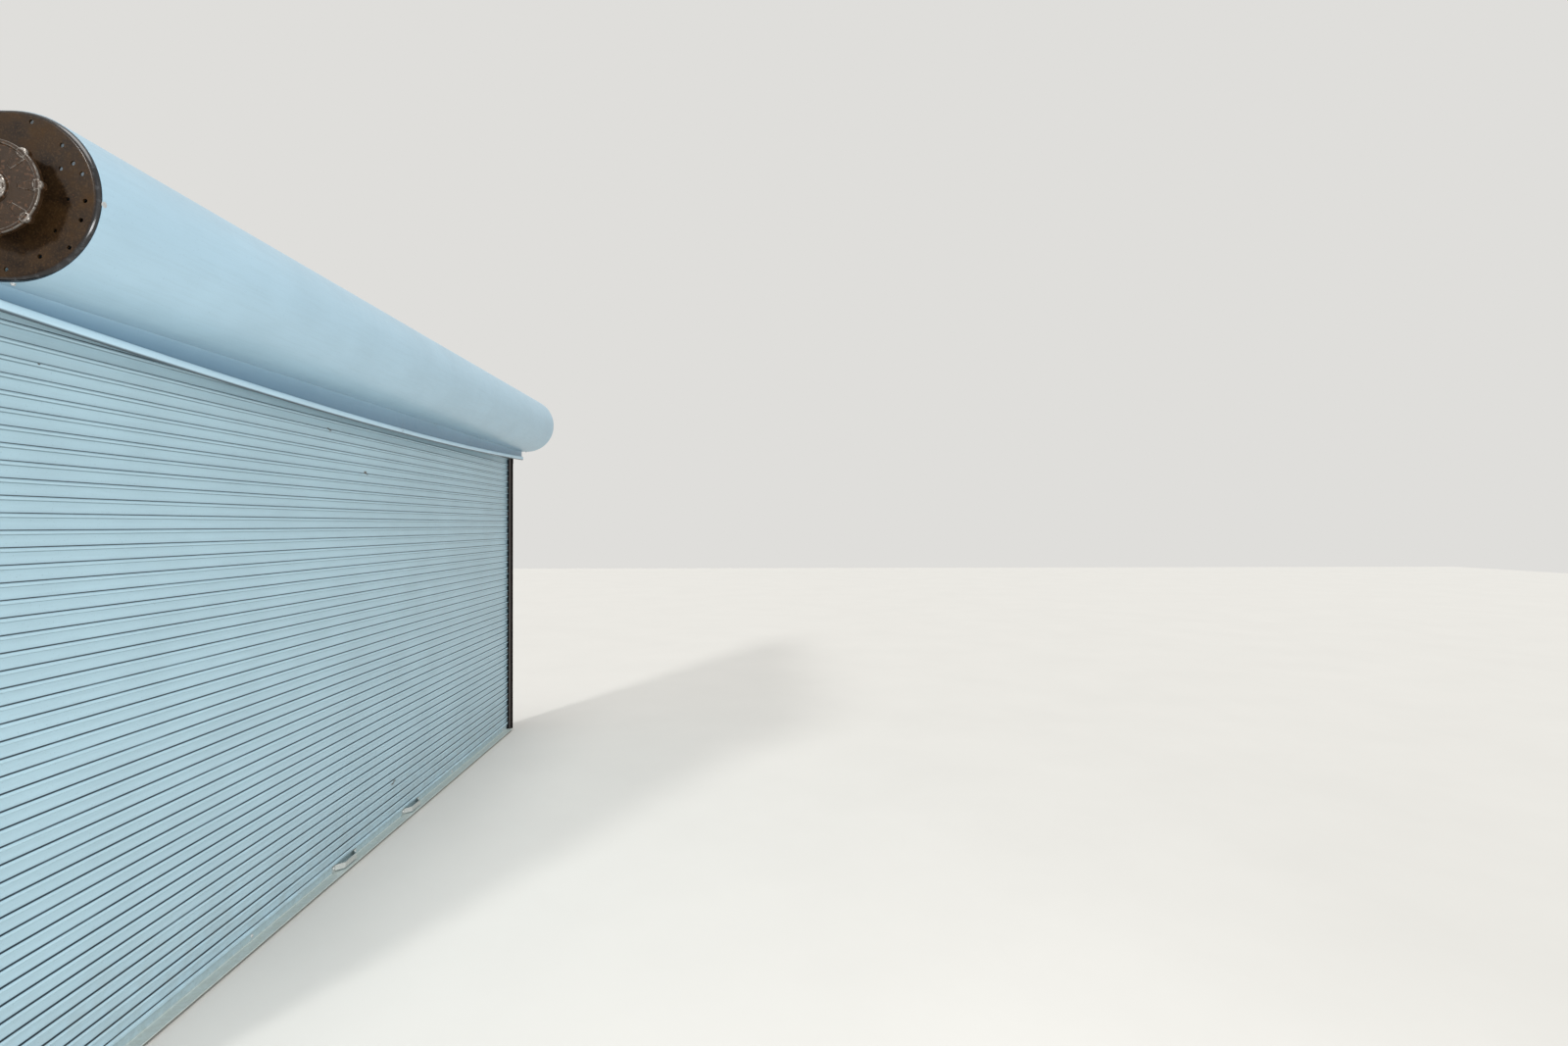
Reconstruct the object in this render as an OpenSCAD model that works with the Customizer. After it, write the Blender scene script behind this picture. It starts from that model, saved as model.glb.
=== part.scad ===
// Rolling service door of interlocking steel slats, closed, with its hood, barrel and guides.
// It is bolted to the room side of a wall: the wall is the plane y = 0 and the room lies at -Y.
// X runs along the opening and Z up. The origin is at floor level on the back of the left wall angle.

/* [Opening] */
// Clear width between the guides
opening_w = 4572; // [3000:1:6000]
// Clear height of the opening
opening_h = 2134; // [1900:1:2600]

/* [Guides] */
// Thickness of the steel angles
angle_t = 4.8; // [3:0.1:6]
// Depth of the groove that takes the curtain's ends
groove_depth = 76; // [60:1:100]
// Width of the groove between its two walls
groove_w = 22; // [18:0.5:30]
// Distance from the wall to the middle of the groove
groove_y = 75; // [70:1:90]
// Leg of the wall angle that lies on the wall
wall_leg = 76; // [60:1:100]
// Leg of the wall angle that stands out into the room
standing_leg = 100; // [96:1:140]
// Leg of the inner guide angle that runs back towards the wall
inner_leg = 50; // [30:1:52]
// Leg of the outer guide angle that runs back towards the wall along the wall angle
outer_leg = 76; // [56:1:80]
// Rounding inside each angle
angle_fillet = 5; // [2:0.5:8]
// Rounding at the toe of each leg
toe_r = 2; // [0.5:0.5:2.3]
// How far the guide angles run past the opening's head
guide_over = 50; // [30:1:80]
// Height of the flare at the top of the groove
flare_h = 60; // [30:1:90]
// Radius of the anchor holes through the wall leg
anchor_hole_r = 7; // [4:0.5:9]
// Number of anchor holes in each wall leg
anchor_count = 6; // [3:1:8]
// Spacing of the anchor holes
anchor_pitch = 450; // [250:5:480]
// Height of the lowest anchor hole
anchor_low = 150; // [80:5:250]
// Radius of the holes that bolt the guide angles to the wall angle
guide_hole_r = 5.5; // [3:0.5:7]
// Number of guide bolts along each guide angle
guide_bolts = 5; // [3:1:6]
// Height of the lowest guide bolt
guide_low = 180; // [100:5:250]
// Distance of the highest guide bolt below the opening's head
guide_high = 114; // [60:2:200]

/* [Curtain] */
// Pitch of the slats
slat_pitch = 46; // [40:0.5:60]
// Thickness of the slat's sheet
slat_t = 1.2; // [0.8:0.1:1.6]
// Outer radius of the bead along each joint
bead_r = 5.75; // [5.5:0.05:7]
// Outer radius of the hook inside the bead
hook_r = 3; // [2.6:0.1:3.2]
// Gap between the top of the hook and the bead that hangs on it
hook_gap = 0.35; // [0.2:0.05:0.5]
// Gap between a slat's end lock and the side of the groove
end_gap = 6; // [3:0.5:12]
// Height of the joint between the bottom bar and the lowest slat
first_joint = 62; // [55:1:80]
// Number of slats that hang upright
upright_slats = 46; // [36:1:50]
// Number of slats from the guides up to the barrel
sloping_slats = 6; // [5:1:6]
// Number of slats that lie round the barrel
wound_slats = 4; // [1:1:6]
// Thickness of an end lock's end plate
lock_t = 3; // [2:0.5:5]
// Thickness of an end lock's tongue
lock_tongue_t = 2.5; // [2:0.25:4]
// Length of an end lock's tongue along the slat
lock_tongue = 42; // [25:1:60]

/* [Bottom bar] */
// Horizontal leg of each bottom angle
bar_leg = 51; // [40:1:60]
// Upright leg of each bottom angle
bar_up = 35; // [28:1:36]
// Thickness of the bottom angles
bar_t = 3.2; // [2.5:0.1:5]
// Height of the rubber strip under the bottom angles
seal_h = 12; // [8:1:20]
// Width of the rubber strip
seal_w = 40; // [20:1:60]
// Height of the bead on top of the bottom bar
bar_bead = 18; // [14:0.5:20]
// Width of the flat bar that the lift handles are bent from
handle_w = 26; // [15:1:30]
// Thickness of that flat bar
handle_t = 4; // [3:0.5:6]
// Straight grip of a lift handle
handle_grip = 110; // [80:1:140]
// How far the grip stands off the bottom bar
handle_out = 34; // [25:1:40]
// Length of each foot of a lift handle
handle_foot = 28; // [20:1:40]
// Distance of each lift handle from the door's middle
handle_x = 390; // [200:5:900]

/* [Barrel] */
// Height of the barrel's axis above the floor
barrel_z = 2455; // [2430:1:2700]
// Distance of the barrel's axis from the wall
barrel_y = 215; // [205:1:250]
// Outer radius of the barrel pipe
barrel_r = 76.2; // [60:0.1:84]
// Wall of the barrel pipe
barrel_wall = 5; // [3:0.5:8]
// Gap between each end of the barrel and the hub of its plate
barrel_gap = 30; // [20:1:60]
// Thickness of the plug in each end of the barrel
plug_t = 16; // [10:1:30]
// Radius of both shafts in their bearings
shaft_r = 17.5; // [16.5:0.1:20]
// Radius of the turned end of the driving shaft
drive_end_r = 15.875; // [12:0.125:16]
// How far the driving shaft stands out beyond its plate
drive_out = 125; // [80:1:160]
// Length of the driving shaft inside the barrel
drive_in = 120; // [80:1:300]
// Length of the tension shaft inside the barrel
tension_in = 600; // [300:10:900]
// Width of the keyway in the driving shaft
key_w = 6.35; // [4:0.05:8]
// Length of the keyway
key_l = 70; // [40:1:78]

/* [Bracket plates] */
// Radius of the round front of each bracket plate
plate_r = 211; // [198:1:225]
// Thickness of the plate
plate_t = 4.8; // [3:0.1:6]
// Width of the flange turned in round the plate
flange_w = 40; // [25:1:45]
// Outer radius of the bend between plate and flange
bend_r = 12; // [8:0.5:16]
// How far the plate runs down below its round part
plate_tail = 100; // [60:1:140]
// Gap between the plate's back edge and the wall
plate_gap = 11; // [10:0.5:16]
// Distance of the outer ring of holes in the left plate from the plate's bend
ring_in = 19; // [17:1:30]
// Radius of the holes in the outer ring
ring_hole_r = 5.5; // [3:0.5:6]
// Radius of the inner ring of small holes in the left plate
inner_ring_r = 138; // [130:1:146]
// Radius of the small holes
small_hole_r = 5; // [3:0.5:5.5]

/* [Bearings] */
// Radius of the bearing's boss
boss_r = 25.5; // [22:0.5:30]
// How far the boss stands out beyond the plate
boss_out = 12; // [6:1:20]
// Distance of each bearing bolt from the shaft
bearing_bolt = 48; // [40:1:60]
// Thickness of the bearing's flange
bearing_t = 12; // [8:1:18]
// Running gap between a shaft and its bearing
shaft_gap = 0.2; // [0.1:0.05:0.4]
// Radius of the holes for the bearing bolts
bearing_hole_r = 5.5; // [3:0.5:6]

/* [Tension wheel] */
// Outer radius of the tension wheel
wheel_r = 115; // [100:1:118]
// Width of the wheel's rim
rim_w = 17; // [14:1:24]
// Radial thickness of the rim
rim_t = 10; // [8:1:16]
// Gap between the plate's outer face and the wheel's rim
wheel_gap = 38; // [30:1:50]
// Thickness of the wheel's web
web_t = 8; // [5:1:10]
// How far the web lies back from the rim's outer edge
web_back = 5; // [3:0.5:6]
// Radius of the wheel's hub
hub_r = 31; // [26:1:36]
// How far the hub's face stands out beyond the rim
hub_proud = 3; // [1:0.5:12]
// Number of lugs round the wheel
lug_count = 8; // [4:1:10]
// Distance of each lug from the axis
lug_ring_r = 110; // [104:1:112]
// Radius of each lug
lug_r = 12; // [10:1:14]
// Height of the raised pad between the hub and each lug
pad_rise = 3; // [1:0.5:4]
// Width of a pad at its inner end
pad_in = 12; // [8:1:16]
// Width of a pad at its outer end
pad_out = 25; // [16:1:28]
// Radius of the bolt that holds the wheel to its plate
wheel_bolt_r = 4.7; // [2.7:0.1:4.7]

/* [Hood] */
// Thickness of the hood's sheet
hood_t = 1.2; // [0.8:0.1:2]
// How far the hood runs back towards the wall below its round part
hood_past = 45; // [30:1:70]
// Height of the flange that hangs from the hood's lower edge, at its ends
hood_flange = 66; // [60:1:90]
// How far the hanging flange sags in its middle
hood_sag = 43; // [10:1:50]
// Number of straight lengths that make the bead along the hood's lower edge
lip_lengths = 8; // [6:1:12]
// Height of the bead along the hood's lower edge
lip_h = 30; // [20:1:40]
// Thickness of that bead
lip_d = 12; // [6:0.5:14]
// Wall of the bead
lip_t = 1.4; // [1:0.1:2]
// Height of the flange that is turned up against the wall
hood_back = 28; // [15:1:50]
// Width of the flat bar that carries the hood in the middle
support_w = 38; // [25:1:60]
// Thickness of that flat bar
support_t = 5; // [3:0.5:8]

/* [Hidden] */
$fn = 64;

// Small gap between pieces that are seated without touching
seat = 0.3;
// Faces of the guide angles and the plates, measured from the door's middle
mouth_x = opening_w / 2;
leg_x = mouth_x + groove_depth;
plate_x = leg_x + angle_t + plate_t;
origin_x = leg_x + wall_leg / 2;
// Walls of the groove, measured from the wall
groove_back = groove_y - groove_w / 2;
groove_front = groove_y + groove_w / 2;
guide_top = opening_h + guide_over;
guide_pitch = (opening_h - guide_high - guide_low) / (guide_bolts - 1);
plate_top = barrel_z + plate_r;
wall_angle_top = plate_top - bend_r - 2;
// Outer faces of the wheel's rim and hub, and the shaft's end, measured from the plate's outer face
rim_face = wheel_gap + rim_w;
hub_face = rim_face + hub_proud;
tension_out = hub_face + 2;
ring_r = plate_r - bend_r - ring_in;
// Holes of the left plate: distance beyond the outer ring, angle above the room side
plate_holes = [[0, 17.5], [0, -4], [0, -19.5], [11, -42], [-13, -64.5], [3, -92.5], [7, 74], [-5, 45],
    [-10, 28]];
// Small holes of the left plate, as angles above the room side
small_holes = [28.5, -3.5, -39];
// Angle above the room side of the first lug, and of the lug that is bolted to the plate
lug_from = 2.5;
lock_angle = lug_from + 360 / lug_count * 3;
guide_bolt_back = groove_back - inner_leg / 2;

// Slat profile: n points into the room from the slat's flat face, and the joint is the middle of the hook
joint_n = hook_r - slat_t / 2;
bead_in = 0.6;
bead_n = bead_r - slat_t - bead_in;
bead_room = bead_r - slat_t;
bead_side = bead_n - joint_n;
bead_drop = sqrt(bead_room * bead_room - bead_side * bead_side) - hook_r - hook_gap;
bead_from = 215;
bead_to = 460;
slat_end = leg_x - angle_t - end_gap - lock_t;
// The flat face of the upright slats, set so that the slats run in the middle of the groove
slat_face = groove_y - (bead_n + bead_r - slat_t) / 2;
slat_depth = bead_n + bead_r;

// Path of the joints: upright, then sloping to the barrel, then round it
wrap_r = barrel_r + slat_depth - joint_n + 1;
joint_y = slat_face + joint_n;
top_joint_z = first_joint + upright_slats * slat_pitch;
reach_y = barrel_y - joint_y;
reach_z = barrel_z - top_joint_z;
reach = sqrt(reach_y * reach_y + reach_z * reach_z);
slope_len = sloping_slats * slat_pitch;
reach_tilt = atan2(reach_y, reach_z);
slope_turn = acos((reach * reach + slope_len * slope_len - wrap_r * wrap_r) / (2 * reach * slope_len));
slope_tilt = reach_tilt - slope_turn;
slope_end_y = joint_y + slope_len * sin(slope_tilt);
slope_end_z = top_joint_z + slope_len * cos(slope_tilt);
wrap_from = atan2(slope_end_z - barrel_z, barrel_y - slope_end_y);
wrap_step = 2 * asin(slat_pitch / 2 / wrap_r);

hood_r = plate_r + seat + hood_t;
hood_half = plate_x - bend_r;
hood_edge_y = barrel_y - hood_past;
flange_low = barrel_z - hood_r - hood_flange;
// The sagging edge is part of a large circle about the point (0, sag_centre)
sag_r = (hood_half * hood_half + hood_sag * hood_sag) / (2 * hood_sag);
sag_centre = flange_low - hood_sag + sag_r;
function sag_z(x) = sag_centre - sqrt(sag_r * sag_r - x * x);
barrel_half = plate_x - plate_t - barrel_gap;
bar_web_low = seal_h + bar_t;
bar_half = mouth_x - 8;
flange_y = hood_edge_y + hood_t;
bar_face = slat_face;

// Everything below is drawn about the door's middle and moved so that the origin is on the wall angle
module from_origin() {
    translate([origin_x, 0, 0]) children();
}

// A profile drawn as (distance from the wall, height), carried along the door from x0 to x1
module along_door(x0, x1) {
    translate([x0, 0, 0]) rotate([90, 0, 90]) linear_extrude(height = x1 - x0)
        mirror([1, 0]) children();
}

// Shapes drawn with (distance from the wall, height, distance inwards) at the left or right plate's face
module at_plate(side) {
    mirror([side > 0 ? 1 : 0, 0, 0]) translate([-plate_x, 0, 0]) rotate([90, 0, 90])
        mirror([1, 0, 0]) children();
}

module side_of(side) {
    mirror([side > 0 ? 0 : 1, 0, 0]) children();
}

// Plan of an angle: leg a along +x, leg b along +y, heel at the origin
module angle_section(a, b, t, fillet, toe) {
    difference() {
        union() {
            square([a, t]);
            square([t, b]);
            square([t + fillet, t + fillet]);
        }
        translate([t + fillet, t + fillet]) circle(r = fillet);
        translate([a - toe, t - toe]) difference() {
            square([toe, toe]);
            circle(r = toe);
        }
        translate([t - toe, b - toe]) difference() {
            square([toe, toe]);
            circle(r = toe);
        }
    }
}

// Holes along X through everything between x0 and x1, at a distance y from the wall
module holes_along_x(x0, x1, y, r) {
    for (i = [0 : guide_bolts - 1])
        translate([x0, -y, guide_low + i * guide_pitch]) rotate([0, 90, 0]) cylinder(r = r, h = x1 - x0);
}

module wall_angle(side) {
    from_origin() side_of(side) difference() {
        translate([leg_x, 0, 0]) linear_extrude(height = wall_angle_top)
            mirror([0, 1]) angle_section(wall_leg, standing_leg, angle_t, angle_fillet, toe_r);
        for (i = [0 : anchor_count - 1])
            translate([leg_x + wall_leg / 2, 1, anchor_low + i * anchor_pitch])
                rotate([90, 0, 0]) cylinder(r = anchor_hole_r, h = angle_t + 2);
        holes_along_x(leg_x - 1, leg_x + angle_t + 1, guide_bolt_back, guide_hole_r);
    }
}

// Wedge that flares the groove towards its top, from its mouth to the distance to_x
module flare(y, out, to_x) {
    translate([mouth_x - 1, -y, guide_top]) rotate([90, 0, 90]) linear_extrude(height = to_x - mouth_x + 1)
        polygon([[out, 1], [-out * angle_t * 0.7, 1], [0, -flare_h], [out, -flare_h]]);
}

// Inner wall of the groove, bolted to the wall angle through the outer guide angle's leg
module inner_guide_angle(side) {
    groove_end = leg_x - angle_t;
    from_origin() side_of(side) difference() {
        translate([groove_end, -groove_back, 0]) linear_extrude(height = guide_top) mirror([1, 0])
            angle_section(groove_depth - angle_t, inner_leg, angle_t, angle_fillet, toe_r);
        holes_along_x(groove_end - angle_t - 1, groove_end + 1, guide_bolt_back, guide_hole_r);
        flare(groove_back, -1, groove_end - angle_t);
    }
}

// Outer wall and end of the groove, bolted to the wall angle's standing leg
module outer_guide_angle(side) {
    from_origin() side_of(side) difference() {
        translate([leg_x, -groove_front - angle_t, 0]) linear_extrude(height = guide_top) mirror([1, 0])
            angle_section(groove_depth, outer_leg, angle_t, angle_fillet, toe_r);
        holes_along_x(leg_x - angle_t - 1, leg_x + 1, guide_bolt_back, guide_hole_r);
        flare(groove_front, 1, leg_x - angle_t);
    }
}

// Half of the pressed plate's section: x from the axis outwards, y inwards from the plate's outer face
module plate_section() {
    square([plate_r - bend_r, plate_t]);
    translate([plate_r - bend_r, bend_r]) intersection() {
        difference() {
            circle(r = bend_r);
            circle(r = bend_r - plate_t);
        }
        translate([0, -bend_r]) square([bend_r, bend_r]);
    }
    translate([plate_r - plate_t, bend_r]) square([plate_t, flange_w - bend_r]);
}

// Round hole through the plate at a radius and an angle above the room side of the axis
module plate_hole(radius, angle, hole) {
    translate([radius * cos(angle), radius * sin(angle), -1]) cylinder(r = hole, h = plate_t + 2);
}

// Round front between a straight upper and a straight lower edge, and a tail along the wall angle
module bracket_plate_shape() {
    back = barrel_y - plate_gap;
    translate([barrel_y, barrel_z, 0]) {
        rotate([0, 0, -90]) rotate_extrude(angle = 180) plate_section();
        translate([-back, 0, 0]) rotate([90, 0, 90]) linear_extrude(height = back) plate_section();
        translate([-back, 0, 0]) rotate([90, 0, 90]) linear_extrude(height = back)
            mirror([1, 0]) square([plate_r - bend_r, plate_t]);
        lower = barrel_y - standing_leg - angle_t;
        translate([-lower, 0, 0]) rotate([90, 0, 90]) linear_extrude(height = lower)
            mirror([1, 0]) plate_section();
    }
    translate([plate_gap, barrel_z - plate_r - plate_tail, 0])
        cube([standing_leg - plate_gap, plate_tail + bend_r + 1, plate_t]);
}

module bracket_plate(side) {
    from_origin() at_plate(side) difference() {
        bracket_plate_shape();
        translate([barrel_y, barrel_z, 0]) {
            translate([0, 0, -1]) cylinder(r = boss_r + seat, h = plate_t + 2);
            for (s = [-1, 1])
                translate([0, s * bearing_bolt, -1]) cylinder(r = bearing_hole_r, h = plate_t + 2);
            if (side < 0) {
                for (p = plate_holes) plate_hole(ring_r + p[0], p[1], ring_hole_r);
                for (a = small_holes) plate_hole(inner_ring_r, a, small_hole_r);
                plate_hole(lug_ring_r, lock_angle, small_hole_r);
            }
        }
    }
}

// Bearing bolted to the inside of its plate, with a boss that stands out through it
module bearing(side) {
    from_origin() at_plate(side) translate([barrel_y, barrel_z, 0]) difference() {
        union() {
            translate([0, 0, -boss_out]) cylinder(r = boss_r, h = boss_out + plate_t + bearing_t);
            translate([0, 0, plate_t]) {
                cylinder(r = boss_r + 8, h = bearing_t);
                for (s = [-1, 1]) translate([0, s * bearing_bolt, 0]) cylinder(r = 14, h = bearing_t);
                translate([-14, -bearing_bolt, 0]) cube([28, 2 * bearing_bolt, bearing_t]);
            }
        }
        translate([0, 0, -boss_out - 1])
            cylinder(r = shaft_r + shaft_gap, h = boss_out + plate_t + bearing_t + 2);
        for (s = [-1, 1])
            translate([0, s * bearing_bolt, plate_t - 1]) cylinder(r = bearing_hole_r, h = bearing_t + 2);
    }
}

// Section of the wheel: x from the axis, y outwards from the plate
module wheel_section() {
    bore = shaft_r + shaft_gap;
    translate([bore, boss_out + 2]) square([hub_r - bore, hub_face - boss_out - 2]);
    translate([hub_r - 2, rim_face - web_back - web_t]) square([wheel_r - rim_t - hub_r + 4, web_t]);
    translate([wheel_r - rim_t, wheel_gap]) square([rim_t - 3, rim_w]);
    translate([wheel_r - 3, wheel_gap + 3]) square([3, rim_w - 6]);
    for (y = [wheel_gap + 3, rim_face - 3]) translate([wheel_r - 3, y]) circle(r = 3);
}

// Cast wheel with a hub, a flat web, a rim, and a lug with a raised pad at each bolt place
module tension_wheel() {
    web_face = rim_face - web_back;
    pad_from = hub_r + 32;
    from_origin() at_plate(-1) translate([barrel_y, barrel_z, 0]) mirror([0, 0, 1]) difference() {
        union() {
            rotate_extrude() wheel_section();
            for (i = [0 : lug_count - 1]) rotate([0, 0, lug_from + i * 360 / lug_count]) {
                translate([lug_ring_r, 0, wheel_gap]) cylinder(r = lug_r, h = rim_w + 1);
                translate([0, 0, web_face - 1]) linear_extrude(height = pad_rise + 1)
                    polygon([[pad_from, -pad_in / 2], [lug_ring_r - lug_r + 1, -pad_out / 2],
                        [lug_ring_r - lug_r + 1, pad_out / 2], [pad_from, pad_in / 2]]);
            }
        }
        for (i = [0 : lug_count - 1]) rotate([0, 0, lug_from + i * 360 / lug_count])
            translate([lug_ring_r, 0, wheel_gap - 1]) cylinder(r = small_hole_r, h = rim_w + 3);
    }
}

// Bolt through one lug of the wheel into the plate, which keeps the spring's tension
module wheel_lock_bolt() {
    from_origin() at_plate(-1) translate([barrel_y, barrel_z, 0]) rotate([0, 0, lock_angle])
        translate([lug_ring_r, 0, 0]) mirror([0, 0, 1]) {
            translate([0, 0, -plate_t - 6]) cylinder(r = wheel_bolt_r, h = plate_t + 6 + rim_face + 1);
            translate([0, 0, rim_face + 1]) cylinder(r = 8, h = 6, $fn = 6);
        }
}

module tension_shaft() {
    from_origin() at_plate(-1) translate([barrel_y, barrel_z, -tension_out])
        cylinder(r = shaft_r, h = tension_out + plate_t + barrel_gap + tension_in);
}

module drive_shaft() {
    from_origin() at_plate(1) translate([barrel_y, barrel_z, -drive_out]) difference() {
        union() {
            cylinder(r = drive_end_r, h = drive_out);
            translate([0, 0, drive_out - boss_out])
                cylinder(r = shaft_r, h = boss_out + plate_t + barrel_gap + drive_in);
        }
        translate([-key_w / 2, drive_end_r - key_w / 2, -1]) cube([key_w, key_w, key_l + 1]);
    }
}

module barrel_pipe() {
    from_origin() translate([-barrel_half, -barrel_y, barrel_z]) rotate([0, 90, 0]) difference() {
        cylinder(r = barrel_r, h = 2 * barrel_half, $fn = 96);
        translate([0, 0, -1]) cylinder(r = barrel_r - barrel_wall, h = 2 * barrel_half + 2, $fn = 96);
    }
}

module barrel_plug(side) {
    from_origin() at_plate(side) translate([barrel_y, barrel_z, plate_t + barrel_gap]) difference() {
        union() {
            cylinder(r = barrel_r - barrel_wall - seat, h = plug_t, $fn = 96);
            cylinder(r = shaft_r + 14, h = plug_t + 26);
        }
        translate([0, 0, -1]) cylinder(r = shaft_r + shaft_gap, h = plug_t + 28);
    }
}

// Ring sector from angle a0 to a1, built from whole rings cut by wedges
module ring_sector(r_out, r_in, a0, a1) {
    far = 3 * r_out;
    mid = (a0 + a1) / 2;
    difference() {
        circle(r = r_out);
        circle(r = r_in);
        polygon([[0, 0], [far * cos(a0), far * sin(a0)],
            [far * cos(mid + 180), far * sin(mid + 180)], [far * cos(a1), far * sin(a1)]]);
    }
}

// Slat seen from its end: n into the room, up along the slat, with the joint below at the origin
module slat_section() {
    bead_up = slat_pitch - bead_drop;
    // flat web, from the hook up to the bead of its own top edge
    translate([-joint_n - slat_t, 0]) square([slat_t, bead_up - bead_r * sin(bead_from - 180)]);
    // hook that hangs in the bead below, open at its upper left
    ring_sector(hook_r, hook_r - slat_t, 180, 450);
    // bead along the top edge, which takes the next hook
    translate([bead_n - joint_n, bead_up]) ring_sector(bead_r, bead_r - slat_t, bead_from, bead_to);
}

// Slat number i: where its lower joint lies (from the wall, height) and its tilt into the room
function slat_y(i) = i < upright_slats ? joint_y
    : i < upright_slats + sloping_slats ? joint_y + (i - upright_slats) * slat_pitch * sin(slope_tilt)
    : barrel_y - wrap_r * cos(wrap_from + (i - upright_slats - sloping_slats) * wrap_step);
function slat_z(i) = i < upright_slats ? first_joint + i * slat_pitch
    : i < upright_slats + sloping_slats ? top_joint_z + (i - upright_slats) * slat_pitch * cos(slope_tilt)
    : barrel_z + wrap_r * sin(wrap_from + (i - upright_slats - sloping_slats) * wrap_step);
function slat_tilt(i) = atan2(slat_y(i + 1) - slat_y(i), slat_z(i + 1) - slat_z(i));

module slats(i0, i1) {
    from_origin() for (i = [i0 : i1]) along_door(-slat_end, slat_end)
        translate([slat_y(i), slat_z(i)]) rotate(-slat_tilt(i)) slat_section();
}

// End lock on every second slat: a plate on the slat's end with a tongue along its face
module end_locks(side) {
    tongue_low = bead_r + 4;
    tongue_h = slat_pitch - 2 * bead_r - 12;
    from_origin() side_of(side) for (i = [0 : 2 : upright_slats - 1])
        translate([slat_end, -slat_face, slat_z(i)]) {
            translate([-lock_tongue, -lock_tongue_t, tongue_low])
                cube([lock_tongue + lock_t, lock_tongue_t, tongue_h]);
            translate([0, -slat_depth + slat_t, 2]) cube([lock_t, slat_depth + 1, slat_pitch - 6]);
        }
}

// Web between the two bottom angles, with a tall bead that hooks the lowest slat
module bottom_bar_web() {
    bead_top = first_joint - bead_drop + bead_r;
    bead_low = bead_top - bar_bead;
    from_origin() along_door(-slat_end, slat_end) {
        translate([bar_face - slat_t, bar_web_low])
            square([slat_t, bead_low + bead_r - bead_r * sin(bead_from - 180) - bar_web_low]);
        translate([bar_face + bead_n, bead_top - bead_r]) ring_sector(bead_r, bead_r - slat_t, 0, 100);
        translate([bar_face + bead_n + bead_r - slat_t, bead_low + bead_r])
            square([slat_t, bar_bead - 2 * bead_r]);
        translate([bar_face + bead_n, bead_low + bead_r]) ring_sector(bead_r, bead_r - slat_t, 215, 360);
    }
}

module bottom_angle(from_wall, out) {
    from_origin() along_door(-bar_half, bar_half) translate([from_wall, seal_h])
        mirror([out > 0 ? 0 : 1, 0]) angle_section(bar_leg, bar_up, bar_t, 3, 1.4);
}

// Rubber strip under both bottom angles, rounded where it meets the floor
module bottom_seal() {
    round_r = seal_h * 0.4;
    from_origin() along_door(-bar_half, bar_half) translate([bar_face - slat_t / 2, 0]) {
        translate([-seal_w / 2, round_r]) square([seal_w, seal_h - round_r]);
        translate([-seal_w / 2 + round_r, 0]) square([seal_w - 2 * round_r, round_r + 1]);
        for (s = [-1, 1]) translate([s * (seal_w / 2 - round_r), round_r]) circle(r = round_r);
    }
}

// Handle bent from flat bar: two feet on the bottom bar, two bends and a grip
module lift_handle(x) {
    half = handle_grip / 2;
    run = handle_out;
    low = seal_h + bar_t + 6;
    points = [[-half - run - handle_foot, 0], [-half - run, 0], [-half, run - handle_t],
        [half, run - handle_t], [half + run, 0], [half + run + handle_foot, 0],
        [half + run + handle_foot, handle_t], [half + run + handle_t * 0.4, handle_t],
        [half + handle_t * 0.4, run], [-half - handle_t * 0.4, run],
        [-half - run - handle_t * 0.4, handle_t], [-half - run - handle_foot, handle_t]];
    from_origin() translate([x, -bar_face - bar_t, low]) difference() {
        linear_extrude(height = handle_w) mirror([0, 1]) polygon(points);
        for (s = [-1, 1]) translate([s * (half + run + handle_foot / 2), 1, handle_w / 2])
            rotate([90, 0, 0]) cylinder(r = 4, h = handle_t + 2);
    }
}

// Hood sheet: flat top from the wall, round front, a short flat underside, and a flange that hangs from it
module hood_sheet() {
    from_origin() {
        along_door(-hood_half, hood_half) {
            translate([0, plate_top + seat]) square([barrel_y, hood_t]);
            translate([0, plate_top + seat]) square([hood_t, hood_back]);
            translate([barrel_y, barrel_z]) ring_sector(hood_r, hood_r - hood_t, -90, 90);
            translate([hood_edge_y, barrel_z - hood_r]) square([hood_past, hood_t]);
        }
        translate([0, -hood_edge_y, 0]) rotate([90, 0, 0]) linear_extrude(height = hood_t) intersection() {
            translate([-hood_half, flange_low - hood_sag - 1])
                square([2 * hood_half, hood_flange + hood_sag + 1 + hood_t / 2]);
            translate([0, sag_centre]) circle(r = sag_r, $fn = 1440);
        }
    }
}

// Rolled bead along the sagging lower edge of the hanging flange, from plate to plate, in straight lengths
module hood_lip() {
    step = 2 * hood_half / lip_lengths;
    from_origin() for (i = [0 : lip_lengths - 1]) {
        x = -hood_half + i * step;
        translate([x, 0, sag_z(x)]) rotate([0, atan2(sag_z(x) - sag_z(x + step), step), 0])
            along_door(0, step - seat) translate([flange_y + lip_d / 2, lip_d / 2 - 3]) difference() {
                lip_outline(lip_d / 2);
                lip_outline(lip_d / 2 - lip_t);
            }
    }
}

// Upright oval of the bead
module lip_outline(r) {
    circle(r = r);
    translate([-r, 0]) square([2 * r, lip_h - lip_d]);
    translate([0, lip_h - lip_d]) circle(r = r);
}

// Flat bar inside the hood at its middle, from the wall round to the hanging flange
module hood_support() {
    outer = plate_r;
    from_origin() along_door(-support_w / 2, support_w / 2) {
        translate([0, barrel_z + outer - support_t]) square([barrel_y, support_t]);
        translate([0, barrel_z + outer - 60]) square([support_t, 60]);
        translate([barrel_y, barrel_z]) ring_sector(outer, outer - support_t, -90, 90);
        translate([flange_y + 1, barrel_z - outer]) square([hood_past - hood_t - 1, support_t]);
    }
}

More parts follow.
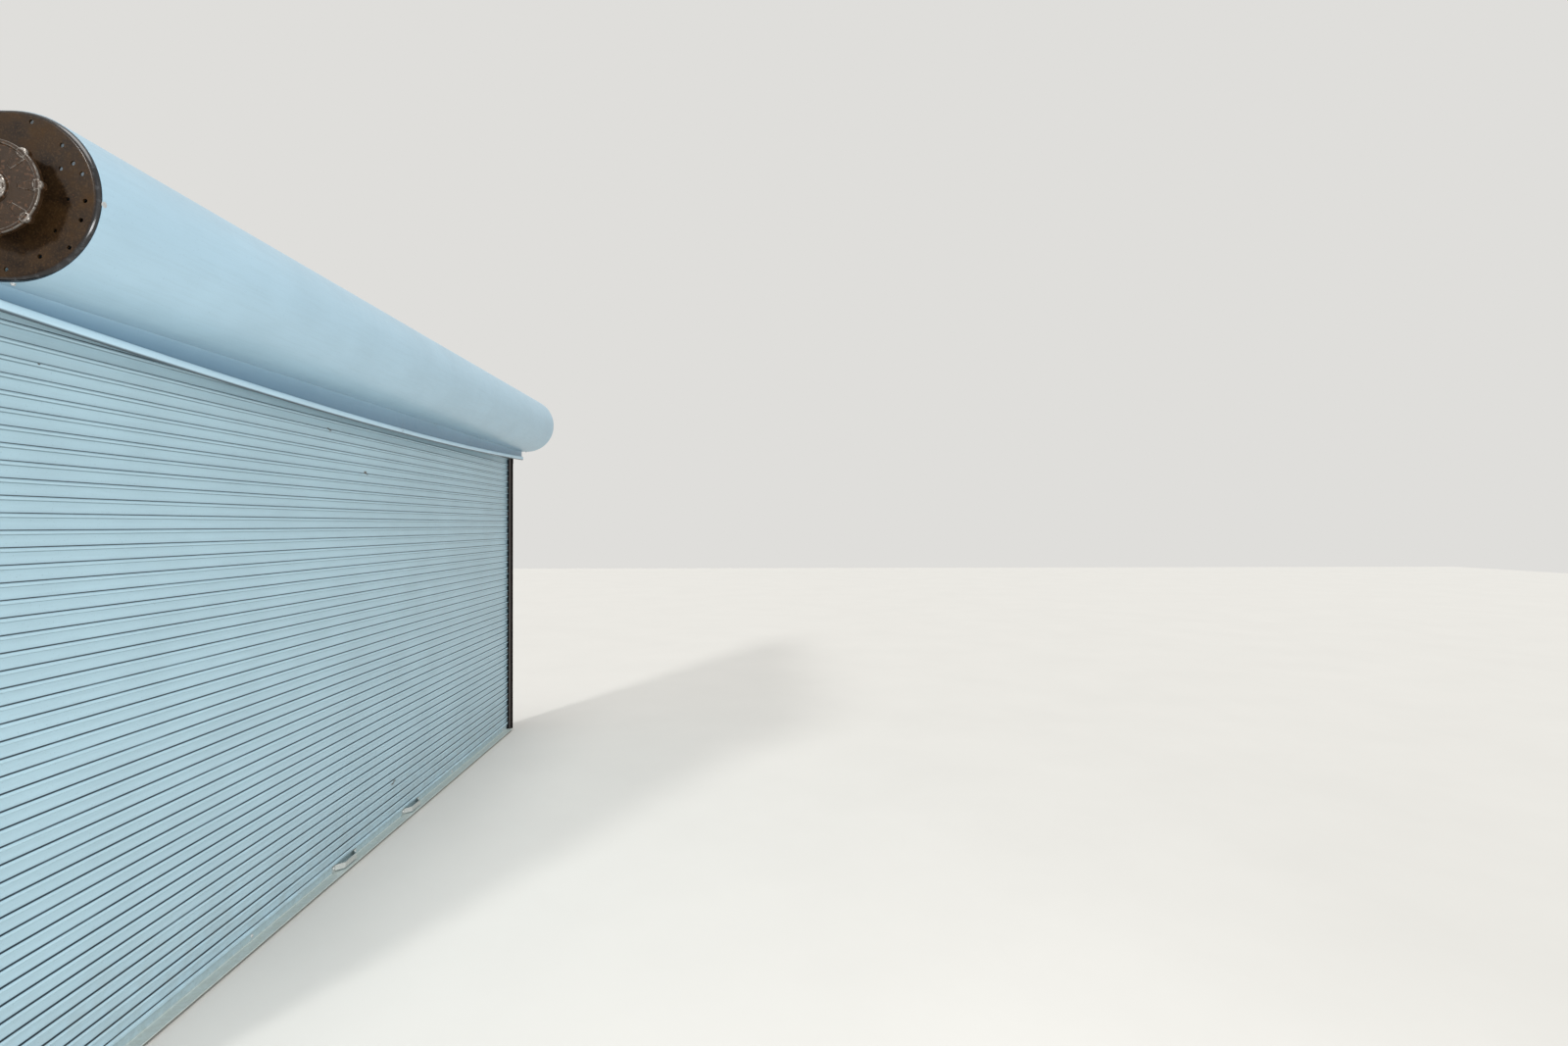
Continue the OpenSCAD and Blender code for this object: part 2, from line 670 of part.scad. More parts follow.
color([0.13, 0.12, 0.12]) wall_angle(-1);  // left_wall_angle
color([0.13, 0.12, 0.12]) wall_angle(1);  // right_wall_angle
color([0.16, 0.15, 0.15]) inner_guide_angle(-1);  // left_inner_guide_angle
color([0.16, 0.15, 0.15]) inner_guide_angle(1);  // right_inner_guide_angle
color([0.18, 0.17, 0.17]) outer_guide_angle(-1);  // left_outer_guide_angle
color([0.18, 0.17, 0.17]) outer_guide_angle(1);  // right_outer_guide_angle
color([0.2, 0.17, 0.15]) bracket_plate(-1);  // left_bracket_plate
color([0.1, 0.09, 0.09]) bracket_plate(1);  // right_bracket_plate
color([0.25, 0.24, 0.24]) bearing(-1);  // left_bearing
color([0.25, 0.24, 0.24]) bearing(1);  // right_bearing
color([0.22, 0.18, 0.16]) tension_wheel();
color([0.6, 0.6, 0.6]) wheel_lock_bolt();
color([0.6, 0.6, 0.6]) tension_shaft();
color([0.5, 0.3, 0.24]) drive_shaft();
color([0.3, 0.3, 0.32]) barrel_pipe();
color([0.25, 0.24, 0.24]) barrel_plug(-1);  // left_barrel_plug
color([0.25, 0.24, 0.24]) barrel_plug(1);  // right_barrel_plug
color([0.7, 0.78, 0.82]) slats(0, 15);  // lower_slats
color([0.72, 0.8, 0.84]) slats(16, 31);  // middle_slats
color([0.74, 0.82, 0.86]) slats(32, upright_slats - 1);  // upper_slats
color([0.7, 0.78, 0.82])  // sloping_slats_to_barrel
    slats(upright_slats, upright_slats + sloping_slats - 1);
color([0.7, 0.78, 0.82])  // slats_on_barrel
    slats(upright_slats + sloping_slats, upright_slats + sloping_slats + wound_slats - 1);
color([0.5, 0.5, 0.5]) end_locks(-1);  // left_end_locks
color([0.5, 0.5, 0.5]) end_locks(1);  // right_end_locks
color([0.75, 0.83, 0.85]) bottom_bar_web();
color([0.66, 0.72, 0.68])  // inner_bottom_angle
    bottom_angle(bar_face - slat_t, -1);
color([0.66, 0.72, 0.68]) bottom_angle(bar_face, 1);  // outer_bottom_angle
color([0.08, 0.08, 0.08]) bottom_seal();
color([0.7, 0.72, 0.7]) lift_handle(-handle_x);  // left_lift_handle
color([0.7, 0.72, 0.7]) lift_handle(handle_x);  // right_lift_handle
color([0.66, 0.74, 0.79]) hood_sheet();
color([0.75, 0.82, 0.85]) hood_lip();
color([0.4, 0.4, 0.42]) hood_support();
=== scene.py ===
"""Looks of a rolling steel service door: its curtain, hood, tension wheel and bolts as smooth surfaces,
and a finish for every part of it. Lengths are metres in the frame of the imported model, or mm where that
is said."""

import math

import bpy
import numpy as np
from bpy.props import FloatProperty, FloatVectorProperty, IntProperty, PointerProperty
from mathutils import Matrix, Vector


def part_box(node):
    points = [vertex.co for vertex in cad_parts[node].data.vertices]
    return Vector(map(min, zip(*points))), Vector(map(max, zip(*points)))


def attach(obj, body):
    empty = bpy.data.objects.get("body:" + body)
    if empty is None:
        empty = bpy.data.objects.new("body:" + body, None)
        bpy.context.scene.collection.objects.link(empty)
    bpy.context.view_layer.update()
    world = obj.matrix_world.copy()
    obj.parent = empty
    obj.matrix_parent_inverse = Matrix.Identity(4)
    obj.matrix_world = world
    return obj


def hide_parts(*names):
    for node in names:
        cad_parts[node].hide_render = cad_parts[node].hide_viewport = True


bl_info = {
    "name": "Rolling service door",
    "version": (1, 0, 0),
    "blender": (4, 5, 0),
    "location": "3D View > Sidebar > Rolling Door",
    "description": "Builds the smooth pieces, bolts and finishes of a rolling steel service door",
    "category": "Mesh",
}

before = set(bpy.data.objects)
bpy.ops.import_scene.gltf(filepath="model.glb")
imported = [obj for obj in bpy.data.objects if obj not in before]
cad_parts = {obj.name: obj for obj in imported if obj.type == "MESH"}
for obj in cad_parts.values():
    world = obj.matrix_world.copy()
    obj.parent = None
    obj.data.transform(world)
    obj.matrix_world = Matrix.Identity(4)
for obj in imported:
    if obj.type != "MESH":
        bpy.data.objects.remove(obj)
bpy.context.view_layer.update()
BODY = "root"
MM = 0.001
SHEET = 1.2 * MM

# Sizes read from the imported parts. FACE, the slats' flat face, and BARREL_Y, the barrel's axis, are
# distances from the wall. The halves are half lengths of curtain, plates and hood, and between the
# guides' legs.
SLAT_LOW, SLAT_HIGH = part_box("lower_slats")
MIDDLE = (SLAT_LOW.x + SLAT_HIGH.x) / 2
SLAT_HALF = (SLAT_HIGH.x - SLAT_LOW.x) / 2
FACE = -SLAT_HIGH.y + SHEET
PIPE_LOW, PIPE_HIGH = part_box("barrel_pipe")
BARREL_Y = -(PIPE_LOW.y + PIPE_HIGH.y) / 2
BARREL_Z = (PIPE_LOW.z + PIPE_HIGH.z) / 2
PLATE_LOW, PLATE_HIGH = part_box("left_bracket_plate")
PLATE_R = PLATE_HIGH.z - BARREL_Z
PLATE_HALF = MIDDLE - PLATE_LOW.x
LEG_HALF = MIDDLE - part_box("left_wall_angle")[1].x
HOOD_LOW, HOOD_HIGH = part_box("hood_sheet")
HOOD_HALF = MIDDLE - HOOD_LOW.x
LIP_LOW, LIP_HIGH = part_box("hood_lip")
WHEEL_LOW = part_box("tension_wheel")[0]
BAR_LOW, BAR_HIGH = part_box("outer_bottom_angle")
WEB_LOW, WEB_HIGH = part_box("bottom_bar_web")

# Slat profile in mm along the middle of its sheet: radii of hook, bead and the round under the bead, then
# bead's centre and web in front of the flat face, and that centre's height above the joint
HOOK_R, BEAD_R, ROUND_R = 2.4, 5.15, 1.5
BEAD_OUT, WEB_OUT, BEAD_UP = 3.95, -0.6, 45.07
# How far the round's centre lies below the bead's, the degrees where the two meet, and the whole depth
ROUND_DOWN, ROUND_END, SLAT_DEPTH = 5.91, 62.7, 9.7

# Gap between a plate's rim and the hood, the rim's width, and the distance from the wall where it begins
HOOD_GAP = 0.3 * MM
RIM_WIDTH, RIM_START = 11 * MM, 104 * MM

# Tension wheel in mm: radii of rim, ring of lugs, lug, bore and rounded edge, then how far the backs of web
# and rim stand before the plate, and the first lug's angle in degrees
WHEEL_R, LUG_RING, LUG_R, WHEEL_BORE, EDGE_R = 115.0, 110, 12, 17.8, 2.5
WEB_BACK, RIM_BACK, LUG_TURN = 42, 38, 2.5


def linear(code):
    """Linear colour of an sRGB hex value: each channel c becomes c / 12.92 below 0.04045, else
    ((c + 0.055) / 1.055) to the power 2.4."""
    srgb = [int(code[i:i + 2], 16) / 255 for i in (1, 3, 5)]
    return [c / 12.92 if c <= 0.04045 else ((c + 0.055) / 1.055) ** 2.4 for c in srgb] + [1.0]


def colour(name, code, text):
    return FloatVectorProperty(name=name, description="Colour of " + text, default=linear(code), size=4,
                               min=0, max=1, subtype="COLOR")


def length(name, mm, text):
    return FloatProperty(name=name, description=text, default=mm * MM, min=0, max=10, precision=5,
                         subtype="DISTANCE", unit="LENGTH")


def strength(name, value, text):
    return FloatProperty(name=name, description="Strength of " + text, default=value)


class CurtainSettings(bpy.types.PropertyGroup):
    pitch: length("Slat pitch", 46, "Height from one slat's joint to the next")
    sheet: length("Sheet", 1.2, "Thickness of the slats' sheet")
    first_joint: length("Lowest joint", 62, "Height of the joint between bottom bar and lowest slat")
    wave: length("Waviness", 0.22, "How far a slat's face wanders from straight along the door")
    upright: IntProperty(name="Upright slats", description="Slats that hang between the guides", default=46)
    sloping: IntProperty(name="Sloping slats", description="Slats between guides and barrel", default=6)
    wound: IntProperty(name="Wound slats", description="Slats that lie round the barrel", default=4)
    paint: colour("Paint", "#A3C0CC", "the coated sheet of the slats")
    # Bluish grey of the dirt in the joints, which also serves as painted shade in the crease under each bead
    # and under the hood's bead
    grime_and_shade: colour("Grime", "#33424B", "the dirt in the joints, and of the painted shade under the beads and the hood's bead")


class HoodSettings(bpy.types.PropertyGroup):
    sheet: length("Sheet", 1.2, "Thickness of the hood's sheet")
    dent: length("Oil canning", 0.45, "How far the thin sheet sinks in")
    past: length("Underside", 45, "How far the hood runs back towards the wall below its round part")
    sag: length("Sag", 43, "How much lower the hood's edge hangs in the middle than at its ends")
    lip: length("Lip height", 30, "Height of the bead along the hood's lower edge")
    paint: colour("Paint", "#9FBCCC", "the coated sheet of the hood")
    # Painted highlight: the bead's paint is a lighter copy of the hood's paint
    lip_paint_with_highlight: colour("Lip paint with painted highlight", "#B0CDDC", "the bead along the hood's lower edge")
    # Painted shade: the dark blue film above the hood's bead and over its inner side, which also tints its
    # dust specks
    shade: colour("Flange painted shade", "#2C5C7A", "the painted shade above the bead and inside the hood")


class IronSettings(bpy.types.PropertyGroup):
    wheel: colour("Wheel", "#342517", "the painted cast iron wheel")
    plate: colour("Left plate", "#1E150E", "the dusty enamel of the left plate")
    plate_right: colour("Right plate", "#151312", "the enamel of the right plate")
    guide: colour("Guides", "#131011", "the enamel of the guides and wall angles")
    bare: colour("Bare steel", "#A9A8A4", "the shafts' bare steel")
    rust: colour("Rust", "#7A4630", "the rust on the shafts")


class BoltSettings(bpy.types.PropertyGroup):
    anchor_flat: length("Anchor head", 19, "Width across the flats of a wall anchor's head")
    guide_flat: length("Guide bolt head", 16, "Width across the flats of a guide bolt's head")
    plate_flat: length("Plate bolt head", 14, "Width across the flats of a plate bolt's head")
    screw_flat: length("Hood screw head", 8, "Width across the flats of a hood screw's head")
    zinc: colour("Zinc", "#D0D3D3", "the zinc plating")


class StageSettings(bpy.types.PropertyGroup):
    lens: FloatProperty(name="Lens", description="Focal length on a 36 mm wide film", default=19.125,
                        unit="CAMERA")
    floor: colour("Floor", "#D2D0CB", "the plain floor")
    backdrop: colour("Backdrop", "#DFDEDB", "the plain light behind the door")
    panel: strength("Light panel", 52.0, "the broad low panel in the room, in watts")
    front: strength("Front light", 0.3, "the soft light from the room side")
    top: strength("Top light", 2.1, "the soft light from above")
    side: strength("Side light", 1.6, "the light past the left end")
    sky: strength("Sky", 0.45, "the even light from all round")


GROUPS = {"curtain": CurtainSettings, "hood": HoodSettings, "iron": IronSettings, "bolts": BoltSettings,
          "stage": StageSettings}


def settings(name):
    return getattr(bpy.context.scene, "rolling_door_" + name)


# Surfaces

def smooth(a, b, x):
    """0 below a, 1 above b, and 3t^2 - 2t^3 between, with t the share of the way from a to b."""
    t = np.clip((x - a) / (b - a), 0, 1)
    return t * t * (3 - 2 * t)


def arc(centre, radius, start, stop, count):
    """Points (centre + radius * (cos, sin)) at count angles from start to stop, in degrees."""
    a = np.radians(np.linspace(start, stop, count))
    return np.stack([centre[0] + radius * np.cos(a), centre[1] + radius * np.sin(a)], -1)


def line(start, stop, count):
    """Points at equal steps on the straight line between two points."""
    t = np.linspace(0, 1, count)[:, None]
    return np.asarray(start) * (1 - t) + np.asarray(stop) * t


def path(*parts):
    """The parts end to end, without a point that repeats the one before it."""
    points = np.concatenate(parts)
    step = np.linalg.norm(np.diff(points, axis=0), axis=1)
    return points[np.concatenate([[True], step > 1e-7])]


def normals(points):
    """Unit vectors square to a line at its points, from the central difference of its neighbours."""
    tangent = np.gradient(points, axis=0)
    tangent /= np.linalg.norm(tangent, axis=1)[:, None]
    return np.stack([tangent[:, 1], -tangent[:, 0]], -1)


def sheet_loop(centre_line, thickness):
    """Closed outline of a bent sheet: its middle line moved half the thickness to one side along its
    normal, and back along the other side."""
    out = normals(centre_line) * thickness / 2
    return np.concatenate([centre_line + out, (centre_line - out)[::-1]])


def grid_faces(rows, cols, round_rows=False, round_cols=False):
    """Quads of a grid whose points are stored row by row. A round direction joins its last line to its
    first."""
    r, c = np.indices((rows - (not round_rows), cols - (not round_cols)))
    r1, c1 = (r + 1) % rows, (c + 1) % cols
    return np.stack([r * cols + c, r1 * cols + c, r1 * cols + c1, r * cols + c1], -1).reshape(-1, 4)


def points_at(x, out, height):
    """Points at x, at a distance out from the wall and at a height, each one number or an array."""
    return np.stack(np.broadcast_arrays(x, -np.asarray(out), height), -1)


def carried(loops, xs):
    """A sheet's outline carried along X. loops has one outline (stations, points, 2) of distance from the
    wall and height for each x from the door's middle, and each point becomes (middle + x, -distance,
    height). Quads across the sheet's thickness close both ends."""
    stations, count = loops.shape[:2]
    points = points_at(MIDDLE + xs[:, None], loops[..., 0], loops[..., 1]).reshape(-1, 3)
    i = np.arange(count // 2 - 1)
    cap = np.stack([i, i + 1, count - 2 - i, count - 1 - i], -1)
    return points, np.concatenate([grid_faces(stations, count, round_cols=True), cap,
                                   cap[:, ::-1] + (stations - 1) * count])


def joined(parts):
    """Point and face arrays of several shapes as one pair."""
    points, faces = zip(*parts)
    offsets = np.cumsum([0] + [len(p) for p in points[:-1]])
    return np.concatenate(points), np.concatenate([f + offset for f, offset in zip(faces, offsets)])


def turned(profile, around=24):
    """A profile of (radius, height, share of hexagon) turned round Z. A row's radius at angle a is its
    radius times 1, or times 1 / cos(a - the middle of its side) as far as the row is a hexagon. A centre
    point closes each end."""
    a = np.arange(around) * 2 * np.pi / around
    side = 1 / np.cos((a + np.pi / 6) % (np.pi / 3) - np.pi / 6)
    profile = np.asarray(profile, float)
    radius = profile[:, :1] * (1 + profile[:, 2:3] * (side[None] - 1))
    height = np.broadcast_to(profile[:, 1:2], radius.shape)
    points = np.stack([radius * np.cos(a), radius * np.sin(a), height], -1).reshape(-1, 3)
    rows = len(profile)
    ends = np.array([[0, 0, profile[0, 1]], [0, 0, profile[-1, 1]]])
    j = np.arange(around)
    k, centre, last = (j + 1) % around, 0 * j + rows * around, (rows - 1) * around
    low = np.stack([j, k, centre, centre], -1)
    high = np.stack([k + last, j + last, centre + 1, centre + 1], -1)
    sides = grid_faces(rows, around, round_cols=True)
    return np.concatenate([points, ends]), np.concatenate([sides, low, high])


def stamped(shape, places, directions, seed):
    """A copy of a shape at each place, with its Z along the direction there and turned about it by a
    seeded angle: place + u x' + v y' + d z, where u and v are square to d."""
    points, faces = shape
    places = np.asarray(places, float)
    d = np.broadcast_to(np.asarray(directions, float), places.shape)
    d = d / np.linalg.norm(d, axis=1)[:, None]
    other = np.where(np.abs(d[:, 2:3]) < 0.9, [[0, 0, 1.0]], [[1.0, 0, 0]])
    u = np.cross(other, d)
    u /= np.linalg.norm(u, axis=1)[:, None]
    v = np.cross(d, u)
    turn = np.random.default_rng(seed).uniform(0, 2 * np.pi, len(places))[:, None]
    x = points[:, 0] * np.cos(turn) - points[:, 1] * np.sin(turn)
    y = points[:, 0] * np.sin(turn) + points[:, 1] * np.cos(turn)
    made = places[:, None] + x[..., None] * u[:, None] + y[..., None] * v[:, None]
    made = made + points[:, 2:] * d[:, None]
    copies = faces[None] + (np.arange(len(places)) * len(points))[:, None, None]
    return made.reshape(-1, 3), copies.reshape(-1, 4)


def placed(name, data):
    """A new object in the scene."""
    made = bpy.data.objects.new(name, data)
    bpy.context.scene.collection.objects.link(made)
    return made


def piece(name, shape, material, replaces=(), sharp=40, shade=None):
    """Mesh object on the frame's body from points and quads, where a quad that repeats its last corner is
    a triangle. If the volume, the sum of a . (b x c) / 6 over its triangles, is negative, its faces turn
    round. shade gives named attributes with one value for each point."""
    points, faces = shape
    a, b, c, d = (points[faces[:, i]] for i in range(4))
    if np.sum(a * np.cross(b, c)) + np.sum(a * np.cross(c, d)) < 0:
        faces = faces[:, [2, 1, 0, 3]]
    triangle = (faces[:, 3] == faces[:, 2]) | (faces[:, 3] == faces[:, 0])
    keep = np.ones(faces.shape, bool)
    keep[triangle, 3] = False
    mesh = bpy.data.meshes.new(name)
    mesh.vertices.add(len(points))
    mesh.vertices.foreach_set("co", np.ascontiguousarray(points, np.float32).ravel())
    mesh.loops.add(int(keep.sum()))
    mesh.loops.foreach_set("vertex_index", faces[keep].astype(np.int32))
    sizes = keep.sum(1)
    mesh.polygons.add(len(faces))
    mesh.polygons.foreach_set("loop_start", (np.cumsum(sizes) - sizes).astype(np.int32))
    mesh.update(calc_edges=True)
    for key, values in (shade or {}).items():
        kept = mesh.attributes.new(key, "FLOAT", "POINT")
        kept.data.foreach_set("value", np.asarray(values, np.float32).ravel())
    if mesh.validate():
        raise RuntimeError(name + " has faces that can't be used")
    mesh.shade_smooth()
    mesh.set_sharp_from_angle(angle=math.radians(sharp))
    mesh.materials.append(material)
    made = placed(name, mesh)
    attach(made, BODY)
    if replaces:
        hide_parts(*replaces)
    return made


# Finishes

def put(node, key, value):
    """Sets a node's socket, or links it where the value is a socket."""
    if isinstance(value, bpy.types.NodeSocket):
        value.id_data.links.new(value, node.inputs[key])
    else:
        node.inputs[key].default_value = value


def add(owner, kind, inputs=None, out=0, **values):
    """One output of a new shader node in the owner, a tree or a socket in it. values are the node's own
    settings, and inputs its sockets' values by name or number."""
    node = owner.id_data.nodes.new("ShaderNode" + kind)
    for key, value in values.items():
        setattr(node, key, value)
    for key, value in (inputs or {}).items():
        put(node, key, value)
    return node.outputs[out]


def begin(name):
    """A new material with its shader and the object coordinates."""
    made = bpy.data.materials.new(name)
    made.use_nodes = True
    tree = made.node_tree
    return made, tree.nodes["Principled BSDF"], add(tree, "TexCoord", out="Object")


def shaded(tint, share):
    """A colour with each channel multiplied by the share, and at most 1."""
    return [min(1, c * share) for c in tint[:3]] + [1]


def layered(base, *layers):
    """A colour under others. Each layer has a colour, then the shares whose product says how much of the
    ones below it that colour covers."""
    for tint, share, *others in layers:
        for other in others:
            share = add(share, "Math", {0: share, 1: other}, operation="MULTIPLY")
        tint = linear(tint) if isinstance(tint, str) else tint
        base = add(share, "Mix", {0: share, 6: base, 7: tint}, 2, data_type="RGBA")
    return base


def spots(where, size_mm, low, high, detail=4.0, drawn=None):
    """Noise whose patches measure size_mm, as a share from 0 where it is low to 1 where it is high. The
    patches are drawn out in each direction for which drawn is below 1."""
    if drawn:
        where = add(where, "Mapping", {"Vector": where, "Scale": drawn})
    sockets = {"Vector": where, "Scale": 1000 / size_mm, "Detail": detail, "Roughness": 0.6}
    return add(where, "MapRange", {"Value": add(where, "TexNoise", sockets), 1: low, 2: high})


def near(where, place, size, core):
    """1 within size * core of a place, falling to 0 at the size from it."""
    away = add(where, "VectorMath", {0: where, 1: place}, "Value", operation="DISTANCE")
    return add(where, "MapRange", {"Value": away, 1: size, 2: size * core})


def finish_shader(shader, base, rough, bump=None, height_mm=0.1):
    """Colour, roughness and, from a height share, the bump of a shader. A roughness that varies is given as
    a share and its values at 0 and at 1."""
    if isinstance(rough, tuple):
        share, start, stop = rough
        rough = add(share, "MapRange", {"Value": share, 3: start, 4: stop})
    put(shader, "Base Color", base)
    put(shader, "Roughness", rough)
    if bump is not None:
        relief = {"Height": bump, "Strength": 0.6, "Distance": height_mm * MM}
        put(shader, "Normal", add(base, "Bump", relief))


def coated_sheet(name, paint, grime_and_shade, scuffs=(), film=None, chips=()):
    """Coil-coated galvanised steel sheet, rolled with polyester paint: a satin film, slightly uneven in
    tone, with fine dust and streaks along the sheet. Where the point attribute read below is 1 the grime
    colour lies, as a film of that share or in streaks: dirt in the curtain's joints, dirt and painted shade
    under its beads, and painted shade on the hood and its bead. scuffs are rubbed places (x, y, z, size),
    chips bare (x, z, size)."""
    made, shader, where = begin(name)
    along = (0.05, 1, 1)
    joint = add(where, "Attribute", out="Fac", attribute_name="dirt_and_painted_shade")
    height = add(where, "SeparateXYZ", {0: where}, "Z")
    low = add(where, "MapRange", {"Value": height, 1: 0.45, 2: 0.02})
    # Tone drifts over about 400 mm, streaks are about 9 mm high, dust specks about 4 mm. The attribute lays
    # the grime colour, dirt in the joints and painted shade on the hood, in streaks of 30 mm where no film
    # share is given, and a pale splash lies in the lowest 450 mm.
    base = layered(paint, (shaded(paint, 1.07), spots(where, 400, 0.35, 0.65, 2.0)),
                   (shaded(paint, 0.86), spots(where, 9, 0.45, 0.75, 5.0, along), 0.35),
                   (grime_and_shade, spots(where, 4, 0.66, 0.74, 2.0), 0.3),
                   (grime_and_shade, joint, film or spots(where, 30, 0.08, 0.42, drawn=along)),
                   ("#7F7D6E", low, spots(where, 60, 0.35, 0.7), 0.3))
    for x, y, z, size in scuffs:
        # A rubbed place with short dark marks
        mark = spots(where, 5, 0.56, 0.62, 2.0, (0.35, 1, 1))
        base = layered(base, ("#5E6C76", near(where, (x, y, z), size, 0.3), mark, 0.75))
    flat = add(where, "Mapping", {"Vector": where, "Scale": (0.6, 0, 1)})
    for x, z, size in chips:
        # A chip in the paint, longer along the sheet than it is high
        base = layered(base, ("#4D4A44", near(flat, (x * 0.6, 0, z), size, 0.5)))
    # Film roughness about 0.36, duller where dust lies; its orange peel is drawn at 3 mm so that it shows
    rough = (spots(where, 35, 0.3, 0.7), 0.33, 0.42)
    finish_shader(shader, base, rough, spots(where, 3, 0.2, 0.8, 1.0), 0.02)
    return made


def black_enamel(name, paint, dust, centre=None):
    """Stoving enamel on pressed or rolled steel: a thin black film, dulled by a share of brown dust and by
    small rust pits. Round a centre the plate's rolled rim is wiped clean: glossy black with rubbed streaks.
    Between the centre and the wall it runs straight."""
    made, shader, where = begin(name)
    # Dust lies in clouds of about 70 mm and grains of 5 mm, rust pits measure about 3 mm
    cloud = spots(where, 70, 0.35, 0.7)
    base = layered(paint, ("#3E2B15", cloud, dust), ("#453421", spots(where, 5, 0.5, 0.68), dust * 0.7),
                   ("#6B3F27", spots(where, 3.2, 0.69, 0.73, 2.0), 0.7))
    rough = add(where, "MapRange", {"Value": cloud, 3: 0.32, 4: 0.32 + 0.3 * dust})
    relief = spots(where, 6, 0.3, 0.7)
    if centre:
        # Distance from the centre in the plate's plane, and in height alone between the centre and the wall
        away = where
        for operation, value in (("SUBTRACT", centre), ("MULTIPLY", (0, 1, 1)), ("MINIMUM", (1, 0, 1))):
            away = add(where, "VectorMath", {0: away, 1: value}, operation=operation)
        away = add(where, "VectorMath", {0: away}, "Value", operation="LENGTH")
        # The rim fades in over 6 mm, and starts at a bend near the wall
        inner = PLATE_R - RIM_WIDTH
        rim = add(where, "MapRange", {"Value": away, 1: inner, 2: inner + 6 * MM})
        bend = add(where, "Math", {0: add(where, "SeparateXYZ", {0: where}, "Y"), 1: -RIM_START},
                   operation="LESS_THAN")
        rim = add(where, "Math", {0: rim, 1: bend}, operation="MULTIPLY")
        wiped = layered(linear("#0F1013"), ("#5C5E62", spots(where, 16, 0.5, 0.66), 0.25))
        base = layered(base, (wiped, rim))
        rough = (rim, rough, 0.22)
        relief = add(where, "MapRange", {"Value": rim, 3: relief, 4: 0.0})
        put(shader, "Coat Weight", rim)
        put(shader, "Coat Roughness", 0.16)
    # Dust scatters the light that clean enamel would mirror
    put(shader, "Specular IOR Level", 0.1)
    finish_shader(shader, base, rough, relief, 0.06)
    return made


def cast_iron(name, paint):
    """Sand-cast grey iron under a thin brown-black paint: pebbled, dull in the hollows and rubbed to grey
    metal on the proud edges, which the attribute edge_wear marks."""
    made, shader, where = begin(name)
    edge = add(where, "Attribute", out="Fac", attribute_name="edge_wear")
    edge = add(where, "Math", {0: edge, 1: spots(where, 7, 0.34, 0.56)}, operation="MULTIPLY")
    base = layered(paint, (shaded(paint, 0.62), spots(where, 26, 0.35, 0.68)),
                   ("#6A4B36", spots(where, 9, 0.56, 0.66), 0.5), ("#938E88", edge))
    put(shader, "Metallic", add(where, "MapRange", {"Value": edge, 4: 0.75}))
    put(shader, "Specular IOR Level", 0.16)
    finish_shader(shader, base, (edge, 0.34, 0.24), spots(where, 2.6, 0.3, 0.7, 3.0), 0.2)
    return made


def bare_steel(name, tint, rust, rusty):
    """Turned or drawn mild steel: metallic with fine marks round the shaft, and a film of rust on part of
    it, where rusty is the share."""
    made, shader, where = begin(name)
    # Turning marks are drawn 1.5 mm apart, coarser than real ones, so that they show
    marks = spots(where, 1.5, 0.3, 0.7, 2.0, (1, 0.02, 0.02))
    film = spots(where, 14, 0.62 - 0.3 * rusty, 0.72 - 0.28 * rusty, 6.0)
    base = layered(shaded(tint, 0.82), (tint, marks), (rust, film),
                   ("#4A2A1D", film, spots(where, 4, 0.5, 0.62)))
    put(shader, "Metallic", add(where, "MapRange", {"Value": film, 3: 1.0, 4: 0.1}))
    finish_shader(shader, base, (film, 0.3, 0.78), marks, 0.02)
    return made


def zinc_plate(name, tint):
    """Zinc-plated steel fasteners: soft grey metal with a faint mottle and dull corners."""
    made, shader, where = begin(name)
    base = layered(tint, (shaded(tint, 0.8), spots(where, 6, 0.35, 0.65)),
                   ("#8F9090", spots(where, 3, 0.6, 0.7), 0.5))
    put(shader, "Metallic", 0.85)
    finish_shader(shader, base, (spots(where, 5, 0.3, 0.7), 0.34, 0.5))
    return made


def galvanised(name, tint):
    """Hot-dip galvanised steel, weathered: dull crystals of 12 to 18 mm in slightly different greys, with
    a pale greenish film, and floor dust on the lowest 24 mm."""
    made, shader, where = begin(name)
    cells = add(where, "TexVoronoi", {"Vector": where, "Scale": 1000 / 15}, "Color")
    shade = add(where, "SeparateColor", {0: cells})
    height = add(where, "SeparateXYZ", {0: where}, "Z")
    low = add(where, "MapRange", {"Value": height, 1: 0.024, 2: 0.012})
    base = layered(tint, (shaded(tint, 0.74), shade, 0.55), ("#9DB0AE", spots(where, 45, 0.42, 0.7), 0.4),
                   ("#7C7C6E", spots(where, 7, 0.56, 0.7), 0.25), ("#BDB9A4", low, 0.5))
    put(shader, "Metallic", 0.15)
    finish_shader(shader, base, (shade, 0.4, 0.58), spots(where, 8, 0.3, 0.7), 0.05)
    return made


def primer(name, tint):
    """Red-brown to grey shop primer on pipe and bar: flat, chalky, with thin places."""
    made, shader, where = begin(name)
    base = layered(tint, (shaded(tint, 0.7), spots(where, 80, 0.35, 0.65)),
                   ("#6A5A4C", spots(where, 8, 0.56, 0.66), 0.5))
    finish_shader(shader, base, 0.72, spots(where, 4, 0.3, 0.7), 0.08)
    return made


def rubber(name):
    """Extruded black synthetic rubber: matt, dusty in patches, with lines along its length."""
    made, shader, where = begin(name)
    along = (0.03, 1, 1)
    base = layered(linear("#0F0F0F"), ("#1F1D1B", spots(where, 4, 0.45, 0.7, drawn=along)),
                   ("#4A453D", spots(where, 30, 0.4, 0.7), 0.2))
    finish_shader(shader, base, 0.75, spots(where, 2, 0.3, 0.7, drawn=along), 0.05)
    return made


def dress(names, material):
    """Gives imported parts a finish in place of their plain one."""
    for name in names:
        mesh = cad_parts[name].data
        mesh.materials.clear()
        mesh.materials.append(material)


# Curtain

